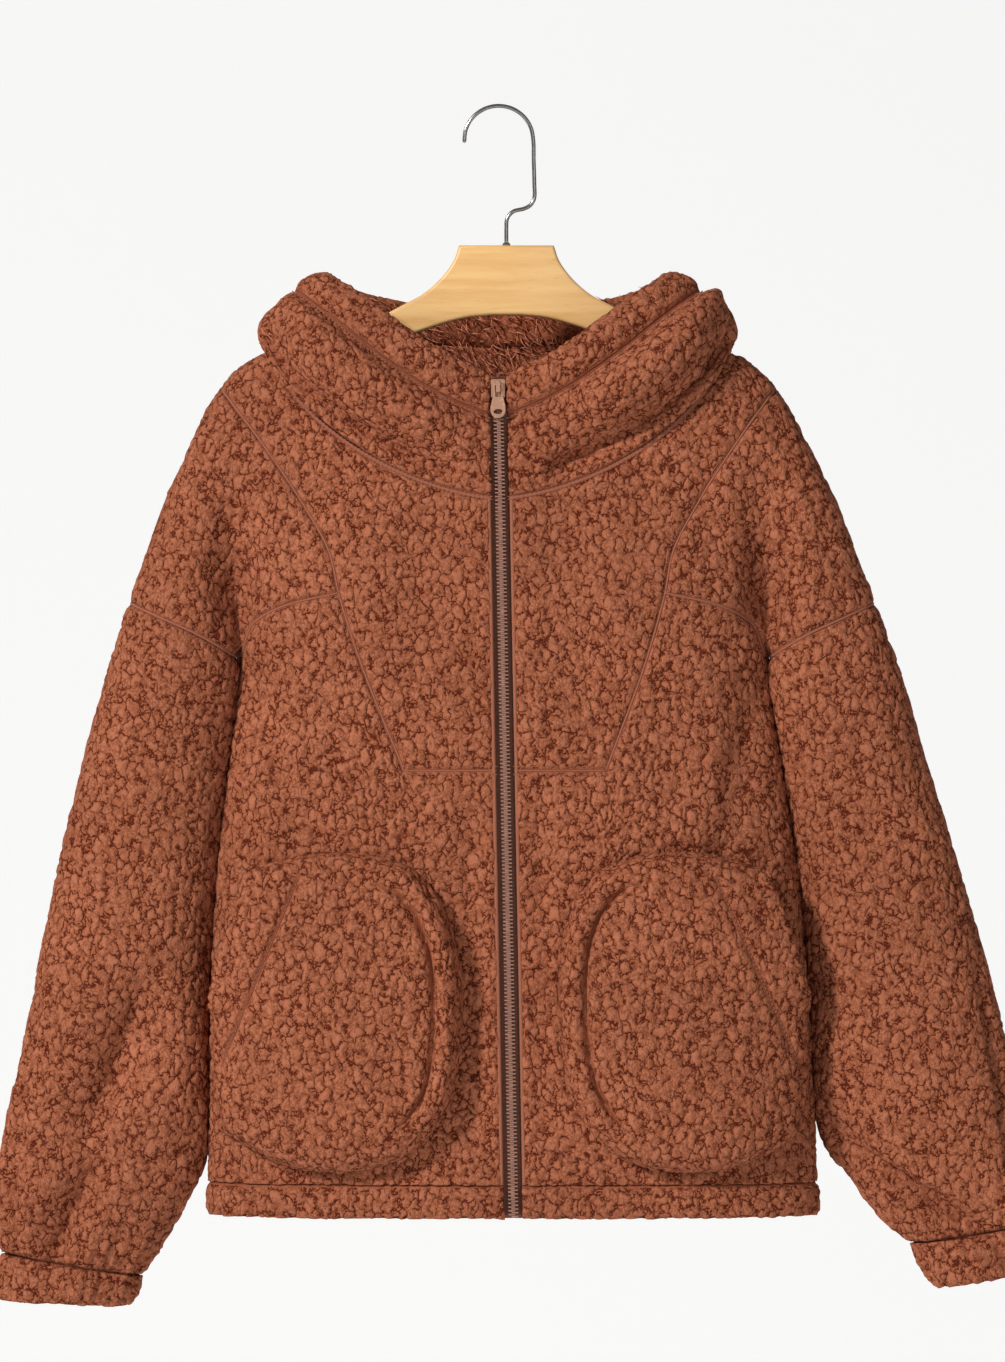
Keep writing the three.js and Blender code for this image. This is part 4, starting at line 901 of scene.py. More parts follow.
def pile_tree():
    """Raises the curls of the fleece along its normals."""
    tree, start, end = geometry_tree(
        "curls", [("Depth", "NodeSocketFloat", 0.0), ("Material", "NodeSocketMaterial", None)]
    )
    rest = node(tree, "GeometryNodeInputNamedAttribute", {"Name": "rest"}, data_type="FLOAT_VECTOR")
    pile = node(tree, "GeometryNodeInputNamedAttribute", {"Name": "pile"}, data_type="FLOAT")
    bumps, _, _ = pile_field(tree, rest.outputs[0])
    lift = math_node(tree, "SUBTRACT", bumps, PILE_SINK)
    lift = times(tree, lift, start.outputs["Depth"])
    lift = times(tree, lift, pile.outputs[0])
    normal = node(tree, "GeometryNodeInputNormal")
    offset = node(
        tree, "ShaderNodeVectorMath", {0: normal.outputs[0], "Scale": lift}, operation="SCALE"
    )
    moved = node(
        tree, "GeometryNodeSetPosition", {"Geometry": start.outputs[0], "Offset": offset.outputs[0]}
    )
    close_tree(tree, end, moved.outputs[0], start.outputs["Material"])
    return tree


# Materials


def material(name):
    made = bpy.data.materials.new(name)
    made.use_nodes = True
    tree = made.node_tree
    return made, tree, tree.nodes["Principled BSDF"]


def rest_place(tree):
    return node(tree, "ShaderNodeAttribute", attribute_name="rest").outputs["Vector"]


def object_place(tree):
    return node(tree, "ShaderNodeTexCoord").outputs["Object"]


def bands(tree, place, scale, direction, distortion=0.0, detail=2.0, detail_scale=1.0):
    values = {"Vector": place, "Scale": scale, "Distortion": distortion}
    values.update({"Detail": detail, "Detail Scale": detail_scale})
    return node(tree, "ShaderNodeTexWave", values, bands_direction=direction).outputs["Fac"]


def blend(tree, share, a, b, kind="MIX"):
    inputs = {0: share, 6: a, 7: b}
    return node(tree, "ShaderNodeMix", inputs, data_type="RGBA", blend_type=kind).outputs[2]


def bumped(tree, height, distance, strength=1.0, under=None):
    inputs = {"Height": height, "Distance": distance, "Strength": strength}
    if under is not None:
        inputs["Normal"] = under
    return node(tree, "ShaderNodeBump", inputs).outputs["Normal"]


def fleece_material(name, body, tip, deep, fibre_depth=0.0005):
    """Curly fleece: rounded curls of fine fibres, with painted shade in the cracks and along the seams and a
    painted highlight on the raised parts of the curls.
    """
    made, tree, bsdf = material(name)
    rest = rest_place(tree)
    pile = node(tree, "ShaderNodeAttribute", attribute_name="pile").outputs["Fac"]
    _, height, crack_shade = pile_field(tree, rest)
    # painted shade in the groove along each seam, where the pile share is low
    groove = ramp(tree, pile, SEAM_PILE, SEAM_PILE + 0.3, 0.5, 0.0)
    # painted shade: the cracks' dark, weaker where the pile is flattened, and the seams' grooves
    dark = times(tree, crack_shade, ramp(tree, pile, 0.2, 0.7, 0.12, 0.95))
    dark = math_node(tree, "MAXIMUM", dark, groove)
    fibres = noise(tree, rest, 850.0, 4.0, 0.72)
    broad = noise(tree, rest, 11.0, 2.0)
    # painted highlight: the raised parts of the curls are mixed towards the lighter tip colour
    painted_highlight = ramp(tree, height, 0.50, 0.90)
    shade = math_node(tree, "ADD", times(tree, fibres, 0.9), 0.55)
    shade = times(tree, shade, ramp(tree, broad, 0.3, 0.7, 0.93, 1.06))
    tone = blend(tree, 1.0, blend(tree, painted_highlight, linear(body), linear(tip)), shade, "MULTIPLY")
    rounded = bumped(tree, times(tree, height, pile), CURL_DEPTH, 1.0)
    feed(tree, bsdf, {
        # painted shade in the cracks and along the seams, painted highlight on the curls' raised parts
        "Base Color": blend(tree, dark, tone, linear(deep)),
        "Normal": bumped(tree, fibres, fibre_depth, 0.8, rounded),
        "Roughness": 0.94,
        "Specular IOR Level": 0.12,
        "Sheen Weight": 0.07,
        "Sheen Roughness": 0.45,
        "Sheen Tint": linear(tip),
    })
    return made


def fur_material():
    """Longer pile: fine streaks, dark at the root."""
    made, tree, bsdf = material("long_fur")
    rest = rest_place(tree)
    streaks = noise(tree, rest, 900.0, 4.0, 0.75)
    clumps = noise(tree, rest, 120.0, 2.0)
    tone = blend(tree, ramp(tree, streaks, 0.3, 0.75), linear(FUR_BODY), linear(FUR_TIP))
    feed(tree, bsdf, {
        "Base Color": blend(tree, ramp(tree, clumps, 0.55, 0.25), tone, linear(FUR_DEEP)),
        "Normal": bumped(tree, streaks, 0.0008),
        "Roughness": 0.9,
        "Specular IOR Level": 0.15,
        "Sheen Weight": 0.3,
        "Sheen Tint": linear(FUR_TIP),
    })
    return made


def thread_material(name, colour):
    """Twisted thread or a narrow knitted binding."""
    made, tree, bsdf = material(name)
    place = object_place(tree)
    fuzz = noise(tree, place, 1400.0, 3.0, 0.6)
    twist = bands(tree, place, 420.0, "DIAGONAL", 1.2)
    soft = bumped(tree, fuzz, 0.0002, 0.6)
    feed(tree, bsdf, {
        "Base Color": blend(tree, times(tree, fuzz, 0.7), linear(colour), linear(FLEECE_TIP)),
        "Normal": bumped(tree, twist, 0.00015, 0.6, soft),
        "Roughness": 0.85,
        "Sheen Weight": 0.15,
    })
    return made


def tape_material():
    """Woven zip tape: fine ribs across a herringbone."""
    made, tree, bsdf = material("woven_tape")
    place = object_place(tree)
    weave = times(tree, bands(tree, place, 260.0, "Z"), bands(tree, place, 330.0, "X"))
    dark = tuple(c * 0.72 for c in TAPE_COLOUR)
    feed(tree, bsdf, {
        "Base Color": blend(tree, weave, linear(dark), linear(TAPE_COLOUR)),
        "Normal": bumped(tree, weave, 0.0002, 0.8),
        "Roughness": 0.8,
    })
    return made


def enamel_material(name, colour, roughness, metallic):
    """Coloured zip parts: slightly uneven, with rubbed brighter spots."""
    made, tree, bsdf = material(name)
    place = object_place(tree)
    worn = noise(tree, place, 260.0, 3.0, 0.6)
    bright = tuple(min(1.0, c * 1.18) for c in colour)
    feed(tree, bsdf, {
        "Base Color": blend(tree, ramp(tree, worn, 0.45, 0.75), linear(colour), linear(bright)),
        "Roughness": ramp(tree, worn, 0.3, 0.8, roughness + 0.08, roughness - 0.06),
        "Normal": bumped(tree, worn, 0.00005, 0.4),
        "Metallic": metallic,
    })
    return made


def wood_material():
    """Pale beech: long soft grain with short darker flecks."""
    made, tree, bsdf = material("beech")
    place = object_place(tree)
    along = vector_node(tree, "MULTIPLY", place, (0.10, 1.0, 1.0))
    short = vector_node(tree, "MULTIPLY", place, (0.16, 1.0, 1.0))
    grain = noise(tree, along, 170.0, 4.0, 0.6)
    flecks = noise(tree, short, 620.0, 2.0)
    share = times(tree, bands(tree, along, 22.0, "Z", 5.0, 2.0, 1.5), 0.28)
    share = math_node(tree, "ADD", share, ramp(tree, grain, 0.35, 0.7, 0.0, 0.42))
    share = math_node(tree, "ADD", share, ramp(tree, flecks, 0.62, 0.72, 0.0, 0.42), clamp=True)
    feed(tree, bsdf, {
        "Base Color": blend(tree, share, linear(WOOD_LIGHT), linear(WOOD_DARK)),
        "Normal": bumped(tree, grain, 0.00008, 0.5),
        "Roughness": 0.42,
        "Coat Weight": 0.25,
        "Coat Roughness": 0.3,
    })
    return made


def steel_material():
    """Bright wire with fine drawn lines."""
    made, tree, bsdf = material("steel_wire")
    place = object_place(tree)
    lines = noise(tree, place, 900.0, 2.0)
    feed(tree, bsdf, {
        "Base Color": blend(tree, ramp(tree, lines, 0.3, 0.7), linear(STEEL), linear(STEEL_LINE)),
        "Roughness": ramp(tree, lines, 0.3, 0.7, 0.16, 0.3),
        "Metallic": 1.0,
    })
    return made


fleece = fleece_material("curly_fleece", FLEECE_BODY, FLEECE_TIP, FLEECE_CRACK_SHADE)
long_fur = fur_material()
thread = thread_material("seam_thread", THREAD)
woven_tape = tape_material()
tooth_enamel = enamel_material("tooth_enamel", TOOTH_COLOUR, 0.42, 0.0)
pull_enamel = enamel_material("pull_enamel", PULL_COLOUR, 0.36, 0.35)
beech = wood_material()
steel = steel_material()
curls = pile_tree()


def placed(made, replaced=None, finish=None, body=BODY):
    """Tells the frame whose piece this is, and gives it its material."""
    if finish is not None:
        made.data.materials.append(finish)
    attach(made, body)
    if replaced is not None:
        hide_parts(replaced)
    return made


def cloth_piece(node_name, patches, area, depth=PILE):
    """Makes a piece of fleece with its curls raised, in place of the CAD node of that name."""
    made = mesh_object(f"{node_name}_fleece", *shell(patches))
    placed(grown(made, curls, {"Depth": depth * MM, "Material": fleece}), node_name)
    return made


# Camera and studio


def make_camera():
    data = bpy.data.cameras.new("camera")
    data.sensor_width = 36
    data.lens = data.sensor_width * CAMERA_DISTANCE / (PHOTO_SIZE[1] * PHOTO_SCALE)
    data.clip_end = 30
    camera = new_object("camera", data)
    camera.location = (CAMERA_X, -CAMERA_DISTANCE, CAMERA_Z)
    camera.rotation_euler = (math.pi / 2, 0, 0)
    bpy.context.scene.camera = camera


def area_light(name, settings):
    """A square light turned towards the middle of the picture."""
    data = bpy.data.lights.new(name, "AREA")
    data.shape = "RECTANGLE"
    data.size = data.size_y = settings["side"]
    data.energy = settings["power"]
    data.color = settings["colour"]
    light = new_object(name, data)
    light.location = settings["place"]
    aim = np.array((0, 0, CAMERA_Z)) - np.array(settings["place"])
    light.rotation_mode = "QUATERNION"
    light.rotation_quaternion = Vector(aim).to_track_quat("-Z", "Y")


def make_studio():
    """A pale floor that sweeps up into a backdrop, two square lights and a pale surrounding."""
    floor, back_wall, radius, wide = (SWEEP[key] for key in ("floor", "back", "radius", "half_width"))
    profile = [(SWEEP["front"], floor)]
    for a in np.linspace(0, math.pi / 2, 24):
        profile.append((back_wall + radius * (math.sin(a) - 1), floor + radius * (1 - math.cos(a))))
    profile.append((back_wall, SWEEP["top"]))
    points = [(x, y, z) for y, z in profile for x in (-wide, wide)]
    faces = [(2 * i, 2 * i + 1, 2 * i + 3, 2 * i + 2) for i in range(len(profile) - 1)]
    mesh = bpy.data.meshes.new("backdrop")
    mesh.from_pydata(points, [], faces)
    mesh.polygons.foreach_set("use_smooth", [True] * len(faces))
    backdrop = new_object("backdrop", mesh)
    made, tree, bsdf = material("pale_paper")
    grain = noise(tree, object_place(tree), 300.0)
    feed(tree, bsdf, {
        "Base Color": blend(tree, grain, *PAPER),
        "Roughness": 1.0,
        "Emission Color": (1.0, 1.0, 0.995, 1),
        "Emission Strength": PAPER_GLOW,
    })
    mesh.materials.append(made)
    area_light("key", KEY_LIGHT)
    area_light("fill", FILL_LIGHT)
    world = bpy.data.worlds.new("surround")
    world.use_nodes = True
    background = world.node_tree.nodes["Background"]
    background.inputs["Color"].default_value = SURROUND["colour"]
    background.inputs["Strength"].default_value = SURROUND["strength"]
    bpy.context.scene.world = world
    bpy.context.scene.view_settings.view_transform = "Standard"


# Panels of the trunk


def lay(grid, side, face, seams):
    """Lays a patch on the trunk: outer points, inner points and pile."""
    half, z = grid[..., 0], grid[..., 1]
    point, normal = on_trunk(side, half, z, face)
    off = off_seams(grid, seams)
    outer = point + normal * seam_dip(off)[..., None]
    free = np.abs(point[..., 1]) / np.maximum(np.abs(normal[..., 1]), 0.01)
    pressed = PRESSED["least"] + PRESSED["rise"] * np.hypot(half - ARMPIT_HALF, z - ARMPIT)
    thick = np.clip(np.minimum(free - SIDE_GAP, pressed), PRESSED["least"], CLOTH)
    inner = point - normal * thick[..., None]
    inner[..., 1] = np.where(inner[..., 1] * face < SIDE_GAP, face * SIDE_GAP, inner[..., 1])
    return outer, inner, seam_pile(off)


def panel(name, grid, side):
    outer, inner, pile = lay(grid, side, -1, FRONT_SEAMS + ZIP_EDGES)
    cloth_piece(name, [patch_mesh(outer, inner, pile, ALL_SIDES)], area_of(outer))


def yoke(side, word):
    left_lines = [zip_upper, front_neck]
    right_lines = [yoke_low, yoke_high]
    up = cells(sum(length_of(line) for line in left_lines), FINE)
    across = cells(SPAN["yoke"], FINE)
    top = level_line(shoulder_half, NECK_SIDE, YOKE_CORNER)
    grid = fill(
        spaced(yoke_bottom, across),
        spaced(top, across),
        joined(left_lines, up),
        joined(right_lines, up),
    )
    panel(f"yoke_{word}", pull_back(grid, ("left", "right", "bottom")), side)


def shoulder(side, word):
    up = cells(length_of(yoke_high), FINE)
    across = cells(SPAN["shoulder"], FINE)
    top = level_line(shoulder_half, YOKE_CORNER, SLEEVE_TOP)
    grid = fill(
        spaced(shoulder_hem, across), spaced(top, across), spaced(yoke_high, up), spaced(sleeve_seam, up)
    )
    panel(f"shoulder_{word}", pull_back(grid, ("left", "right", "bottom")), side)


def front(side, word):
    top_lines = [yoke_bottom, yoke_low, shoulder_hem]
    across = cells(SPAN["front"], FINE)
    up = cells(SPAN["front_up"], FINE)
    hem_line = straight((ZIP_HALF, HEM_SEAM), (float(trunk_half(HEM_SEAM)), HEM_SEAM))
    side_line = level_line(trunk_half, HEM_SEAM, ARMPIT)
    grid = fill(
        spaced(hem_line, across), joined(top_lines, across), spaced(zip_lower, up), spaced(side_line, up)
    )
    panel(f"front_{word}", pull_back(grid, ("left", "top", "bottom")), side)


def back():
    """One back panel from three patches on each side."""
    across = cells(SPAN["back"], COARSE)
    low_up = cells(ARMPIT - HEM_SEAM, COARSE)
    high_up = cells(SPAN["back_up"], COARSE)
    sleeve_across = cells(SPAN["back_sleeve"], COARSE)
    chest = straight((0, ARMPIT), (ARMPIT_HALF, ARMPIT))
    hem_line = straight((0, HEM_SEAM), (float(trunk_half(HEM_SEAM)), HEM_SEAM))
    to_neck = spaced(straight((ARMPIT_HALF, ARMPIT), (NECK_HALF, NECK_SIDE)), high_up, 1)
    shoulder_top = level_line(shoulder_half, NECK_SIDE, YOKE_CORNER)
    shoulder_side = level_line(shoulder_half, SLEEVE_TOP, YOKE_CORNER)
    low = fill(
        spaced(hem_line, across, 1),
        spaced(chest, across, 1),
        spaced(straight((0, HEM_SEAM), (0, ARMPIT)), low_up, 1),
        spaced(level_line(trunk_half, HEM_SEAM, ARMPIT), low_up, 1),
    )
    high = fill(
        spaced(chest, across, 1),
        spaced(back_neck, across, 1),
        spaced(straight((0, ARMPIT), (0, NECK_BACK)), high_up, 1),
        to_neck,
    )
    arm = fill(
        spaced(sleeve_seam, sleeve_across, 1),
        spaced(shoulder_top, sleeve_across, 1),
        to_neck,
        spaced(shoulder_side, high_up, 1),
    )
    low = pull_back(low, ("bottom",))
    high = pull_back(high, ("top",))
    arm = pull_back(arm, ("bottom",))
    low[-1, -1] = high[0, -1] = arm[0, 0]
    high[-1, -1] = arm[-1, 0]
    patches, area = [], 0
    for side in (-1, 1):
        for grid, sides in ((low, ("bottom", "right")), (high, ("top",)), (arm, ("bottom", "top", "right"))):
            outer, inner, pile = lay(grid, side, 1, BACK_SEAMS)
            patches.append(patch_mesh(outer, inner, pile, sides))
            area += area_of(outer)
    cloth_piece("back", patches, area)


# Sleeves and cuffs


def oval(read, at, turn):
    """Points of a tube; turn 0 is its outer edge, 0.25 its front."""
    out = np.stack([read["outX"](at), np.zeros_like(at), read["outZ"](at)], -1)
    inn = np.stack([read["inX"](at), np.zeros_like(at), read["inZ"](at)], -1)
    angle = turn * 2 * math.pi
    across = np.sign(np.cos(angle)) * np.abs(np.cos(angle)) ** (2 / OVAL)
    along = -np.sign(np.sin(angle)) * np.abs(np.sin(angle)) ** (2 / OVAL)
    point = (out + inn) / 2 + (out - inn) / 2 * across[..., None]
    point[..., 1] += along * read["depth"](at)
    return point, (out + inn) / 2


def sleeve_folds(side, at, turn):
    total = np.zeros_like(at)
    for row in SLEEVE_FOLDS:
        if row["side"] != side:
            continue
        t = np.clip((at - row["at0"]) / (row["at1"] - row["at0"]), 0, 1)
        before, after = FOLD_FADE["before"], FOLD_FADE["after"]
        starts = smooth((at - row["at0"] + before) / (2 * before))
        ends = smooth((row["at1"] + after - at) / (2 * after))
        off = (turn - mix(row["turn0"], row["turn1"], smooth(t))) / row["wide"]
        total += row["deep"] * (starts * ends) * np.exp(-(off**2))
    return total


def gather(at, turn):
    wave = np.cos(turn * 2 * math.pi * GATHERS) + 0.5 * np.cos(turn * 2 * math.pi * 5 + 1)
    return GATHER_DEPTH * smooth((at - GATHER_FROM) / (1 - GATHER_FROM)) * wave


def fine_gather(turn):
    wave = np.cos(turn * 2 * math.pi * FINE_GATHERS + 1.5 * np.sin(turn * 2 * math.pi * 4))
    return FINE_GATHER_DEPTH * wave


def towards(point, centre):
    return unit(centre - point)


def armhole(side, turn):
    """The ring of the sleeve seam, front from the shoulder to the armpit, then back again."""
    face_front = turn <= 0.5
    share = np.where(face_front, 1 - 2 * turn, 2 * turn - 1)
    half = mix(ARMPIT_HALF, SLEEVE_TOP_HALF, (1 - np.cos(share * math.pi)) / 2)
    z = sleeve_seam_z(half)
    front_point, _ = on_trunk(side, half, z, -1)
    back_point, _ = on_trunk(side, half, z, 1)
    point = np.where(face_front[:, None], front_point, back_point)
    return point + np.array((side * SLEEVE_WAY[0], 0, SLEEVE_WAY[1])) * 2 * SEAM


def ring_normals(rings):
    """Directions out of a net of closed rings."""
    along = np.gradient(rings, axis=0)
    round_ = np.roll(rings, -1, axis=1) - np.roll(rings, 1, axis=1)
    normal = unit(np.cross(along, round_))
    outwards = rings - rings.mean(axis=1, keepdims=True)
    return normal * np.sign((normal * outwards).sum(-1).mean())


def sleeve_rings(side, at, turn):
    read = readers(SLEEVES[side], "at")
    at, turn = np.meshgrid(at, turn, indexing="ij")
    point, centre = oval(read, at, turn)
    start, _ = oval(read, np.zeros_like(at), turn)
    sewn = armhole(side, turn[0])[None]
    depth = CREASE_MORE * sleeve_folds(side, at, turn) + 0.5 * gather(at, turn)
    depth += fine_gather(turn) * smooth((at - 0.9) / 0.1)
    shaped = point + towards(point, centre) * depth[..., None]
    beside = smooth(at / SNUG["start"]) * smooth((SNUG["end"] - at) / SNUG["fade"])
    beside = beside * np.exp(-(((turn - SNUG["turn"]) / SNUG["wide"]) ** 2))
    snug = -towards(point, centre) * (SNUG["more"] * beside)[..., None]
    return mix(sewn + point - start, shaped, smooth(at / 0.16)[..., None]) + snug


def tube_piece(name, rings, thick, pile, depth=PILE):
    inner = rings - ring_normals(rings) * thick
    patch = patch_mesh(rings, inner, pile, ("bottom", "top"), wraps=True)
    cloth_piece(name, [patch], area_of(rings, wraps=True), depth)


def turns(length):
    count = cells(length, FINE)
    return np.arange(count) / count


def sleeve(side, word):
    at = np.linspace(0, 1, cells(SLEEVE_LENGTH, FINE * 1.1) + 1)
    turn = turns(SLEEVE_ROUND)
    rings = sleeve_rings(side, at, turn)
    off = np.minimum(at, 1 - at) * SLEEVE_LENGTH
    dip = seam_dip(off)[:, None, None]
    outer = rings + ring_normals(rings) * dip
    tube_piece(f"sleeve_{word}", outer, CLOTH - 1, pile_rows(off, rings))


def cuff(side, word):
    read = readers(CUFFS[side], "at")
    at_line = np.linspace(0, 1, cells(CUFF_LENGTH, FINE / 1.2) + 1)
    turn_line = turns(SLEEVE_ROUND * 0.75)
    at, turn = np.meshgrid(at_line, turn_line, indexing="ij")
    point, centre = oval(read, at, turn)
    depth = 0.4 * gather(np.ones_like(at), turn) + fine_gather(turn)
    shaped = point + towards(point, centre) * depth[..., None]
    down = centre[-1, 0] - centre[0, 0]
    down /= np.linalg.norm(down)
    sewn = sleeve_rings(side, np.array([1.0]), turn_line) + down * SEAM
    rings = mix(sewn, shaped, smooth(at / 0.3)[..., None])
    swell = np.sin(np.clip(at, 0, 1) * math.pi) ** 0.5 * CUFF_SWELL
    rings = rings + ring_normals(rings) * (swell - CUFF_SINK)[..., None]
    off = at_line * CUFF_LENGTH
    tube_piece(f"cuff_{word}", rings, CLOTH + 1, pile_rows(off, rings), PILE * 0.8)


# Hem band


def hem_band():
    """A turned strip round the hem, open at the zip."""
    rows = cells(HEM_SEAM - HEM + 4, FINE / 1.3)
    outer_half = float(trunk_half(HEM))
    start = math.asin(((ZIP_HALF + SEAM) / outer_half) ** (FULLNESS / 2))
    quarter = straight((outer_half * math.sin(start) ** (2 / FULLNESS), HEM), (outer_half, HEM))
    fronts = spaced(quarter, cells(SPAN["hem_front"], FINE))[:, 0] / outer_half
    whole = straight((0, HEM), (outer_half, HEM))
    backs = spaced(whole, cells(SPAN["hem_back"], COARSE), 1)[:, 0] / outer_half
    halves = [(share, -1, 1) for share in fronts] + [(share, 1, 1) for share in backs[::-1][1:]]
    halves += [(share, 1, -1) for share in backs[1:]] + [(share, -1, -1) for share in fronts[::-1][1:]]
    t = np.linspace(0, 1, rows + 1)
    z = mix(HEM_SEAM - SEAM, HEM, t)
    lift = HEM_PROUD * smooth(t * 4) - HEM_DIP * (1 - smooth(t * 3.2))
    lift = lift - HEM_TURN * smooth((t - 0.8) / 0.2) ** 2
    outer = np.zeros((rows + 1, len(halves), 3))
    normal = np.zeros_like(outer)
    for i, (share, face, side) in enumerate(halves):
        point, away = on_trunk(side, share * trunk_half(z), z, face, folds=False)
        if share > 0.9999:
            point[:, 1] = 0
        outer[:, i], normal[:, i] = point, away
    wander = np.cos(np.arange(len(halves)) * 0.21) * 0.5 + np.cos(np.arange(len(halves)) * 0.077) * 0.6
    inner = outer - normal * HEM_INSIDE
    outer = outer + normal * (lift[:, None] + wander[None] * smooth(t * 2)[:, None])[..., None]
    off = t * (HEM_SEAM - HEM)
    patch = patch_mesh(outer, inner, pile_rows(off, outer), ALL_SIDES)
    cloth_piece("hem_band", [patch], area_of(outer), PILE * 0.85)


# Hood


hood_read = readers(HOOD, "f")


def hood_sections(side):
    """Sections of one hood half, from the neck seam to the face edge: (columns, rows, 3)."""
    in_front = evenly(front_neck, HOOD_COLUMNS // 2, in_space(front_neck))
    behind = evenly(back_neck, HOOD_COLUMNS // 2, in_space(back_neck, 1))
    sections, lengths, shares = [], [], []
    for place, face in [(p, -1) for p in in_front] + [(p, 1) for p in behind[::-1][1:]]:
        if face < 0:
            angle = math.asin(min(1.0, (place[0] / NECK_HALF) ** (NECK_ROUND / 2)))
            f = (angle - NECK_START) / (math.pi / 2 - NECK_START) / 2
        else:
            f = 1 - math.asin(min(1.0, place[0] / NECK_HALF)) / math.pi
        seam = on_trunk(side, place[0], place[1], face)[0]
        if place[0] >= NECK_HALF - 1e-6:
            seam[1] = 0
        seam = seam + np.array((0, 0, 2 * SEAM))
        row = {name: float(read(f)) for name, read in hood_read.items()}
        rim = np.array((middle(row["z"]) + side * row["half"], row["y"], row["z"]))
        out = np.array((side * math.sin(f * math.pi), -math.cos(f * math.pi), 0))
        points = [seam]
        for k in (1, 2, 3, 4):
            points.append(mix(seam, rim, k / 5) + out * row[f"o{k}"] + np.array((0, 0, row[f"u{k}"])))
        line = catmull([*points, rim], HOOD_ROWS)
        sections.append(line)
        lengths.append(np.linalg.norm(np.diff(line, axis=0), axis=1).sum())
        shares.append(f)
    return np.array(sections), np.array(lengths), np.array(shares)


def stretch(sections, lengths, start, end, count):
    """Cuts each section from one length to another."""
    made = []
    for line, length in zip(sections, lengths):
        at = np.linspace(start(length), end(length), count + 1) * HOOD_ROWS / length
        made.append(np.stack([np.interp(at, np.arange(HOOD_ROWS + 1), line[:, k]) for k in range(3)], -1))
    return np.array(made)


def net_normals(net, outside):
    return unit(np.cross(np.gradient(net, axis=0), np.gradient(net, axis=1)) * outside)


def hood_relief(side, shares, panel_length):
    """Depth of the hood's folds over its net, measured on the cloth."""
    up = np.linspace(0, 1, cells(SPAN["hood_up"], HOOD_CELL) + 1)[None] * panel_length
    round_ = np.broadcast_to(shares[:, None] * HOOD_ROUND, up.shape)
    place = np.stack([round_, up], -1)
    total = np.zeros(up.shape)
    for row in HOOD_FOLDS:
        if row["side"] == side:
            ends = [(row[f"f{k}"] * HOOD_ROUND, row[f"up{k}"] * HOOD_UP) for k in (0, 1)]
            total -= soft_line(row, ends, place)
    return total


def hood_half(side, word):
    sections, lengths, shares = HOODS[side]
    rows = cells(SPAN["hood_up"], HOOD_CELL)
    net = stretch(sections, lengths, lambda _: 0, lambda n: n - HOOD_BAND - SEAM, rows)
    normal = net_normals(net, side)
    panel_length = (lengths - HOOD_BAND)[:, None]
    off = np.minimum(np.linspace(0, 1, rows + 1), 1 - np.linspace(0, 1, rows + 1))[None] * panel_length
    fall = hood_relief(side, shares, panel_length) * smooth(off / 14)
    from_band = (1 - np.linspace(0, 1, rows + 1))[None] * panel_length
    soft = -BAND_TROUGH * (1 - smooth(from_band / 13)) * smooth(off / 3)
    outer = net + normal * (seam_dip(off) + fall + soft)[..., None]
    inner = net + normal * (np.minimum(fall, 0) - CLOTH)[..., None]
    for grid in (outer, inner):
        grid[-1, :, 0] = middle(grid[-1, :, 2]) + side * SIDE_GAP
    patch = patch_mesh(outer, inner, seam_pile(off), ALL_SIDES)
    cloth_piece(f"hood_{word}", [patch], area_of(outer))


def hood_band():
    nets = {}
    for side in (-1, 1):
        sections, lengths, _ = HOODS[side]
        rows = cells(HOOD_BAND + 6, FINE)
        nets[side] = stretch(sections, lengths, lambda n: n - HOOD_BAND, lambda n: n, rows)
    net = np.concatenate([nets[1], nets[-1][::-1][1:]])
    normal = net_normals(net, 1)
    t = np.linspace(0, 1, net.shape[1])
    crown = HOOD_BAND_PROUD + BAND_SWELL * np.sin(np.clip(t, 0, 1) * math.pi) ** 0.8 - HOOD_BAND_SINK
    outer = net + normal * crown[None, :, None]
    inner = net - normal * (HOOD_BAND_THICK - HOOD_BAND_PROUD)
    off = t * HOOD_BAND
    pile = np.broadcast_to(seam_pile(off)[None], outer.shape[:2])
    patch = patch_mesh(outer, inner, pile, ALL_SIDES)
    cloth_piece("hood_band", [patch], area_of(outer))


# Pockets


def pocket_net(side):
    """The pocket's inner points and directions, and each point's distances from its lines."""
    across, up = cells(SPAN["pocket"], FINE), cells(SPAN["pocket_up"], FINE)
    bottom, top = catmull(POCKET_BOTTOM, across), catmull(POCKET_TOP, across)
    inner_edge, side_edge = catmull(POCKET_INNER, up), catmull(POCKET_SIDE, up)
    grid = fill(bottom, top, inner_edge, side_edge)
    mouth_start = int(POCKET_MOUTH_FROM * up)
    sewn = np.vstack([side_edge[: mouth_start + 1][::-1], bottom[::-1], inner_edge, top])
    off = distance_to(sewn[::3], grid)
    half, z = grid[..., 0], grid[..., 1]
    groove = POCKET_GROOVE
    seam = 1 - smooth((half - groove["half"]) / groove["fade"])
    seam = seam * smooth((z - groove["low"]) / groove["rise"])
    within = np.minimum(half, trunk_half(z) - POCKET_SIDE_GAP)
    point, normal = on_trunk(side, within, z, -1, folds=False)
    normal = unit(normal * (POCKET_FORWARD, 1, 1))
    stand = mix(pocket_plain(off), pocket_stand(off), seam)
    stand = stand * (1 + 0.04 * np.cos(z / 21) * smooth(off / 30))
    lines = dict(
        sewn=off,
        mouth=distance_to(side_edge[mouth_start:][::3], grid),
        stitch=distance_to(np.array(MOUTH_STITCH, float), grid),
        seam=np.abs(off - groove["off"]) / np.maximum(seam, 0.05),
    )
    return grid, point + normal * stand[..., None], normal, lines


def pocket_outer(side):
    grid, inner, normal, lines = pocket_net(side)
    stitched = STITCH_GROOVE["deep"] * np.exp(-((lines["stitch"] / STITCH_GROOVE["wide"]) ** 2))
    lip = MOUTH_LIP * smooth(1 - lines["mouth"] / MOUTH_HEM)
    outer = inner + normal * (CLOTH - stitched + lip)[..., None]
    return grid, inner, outer, lines


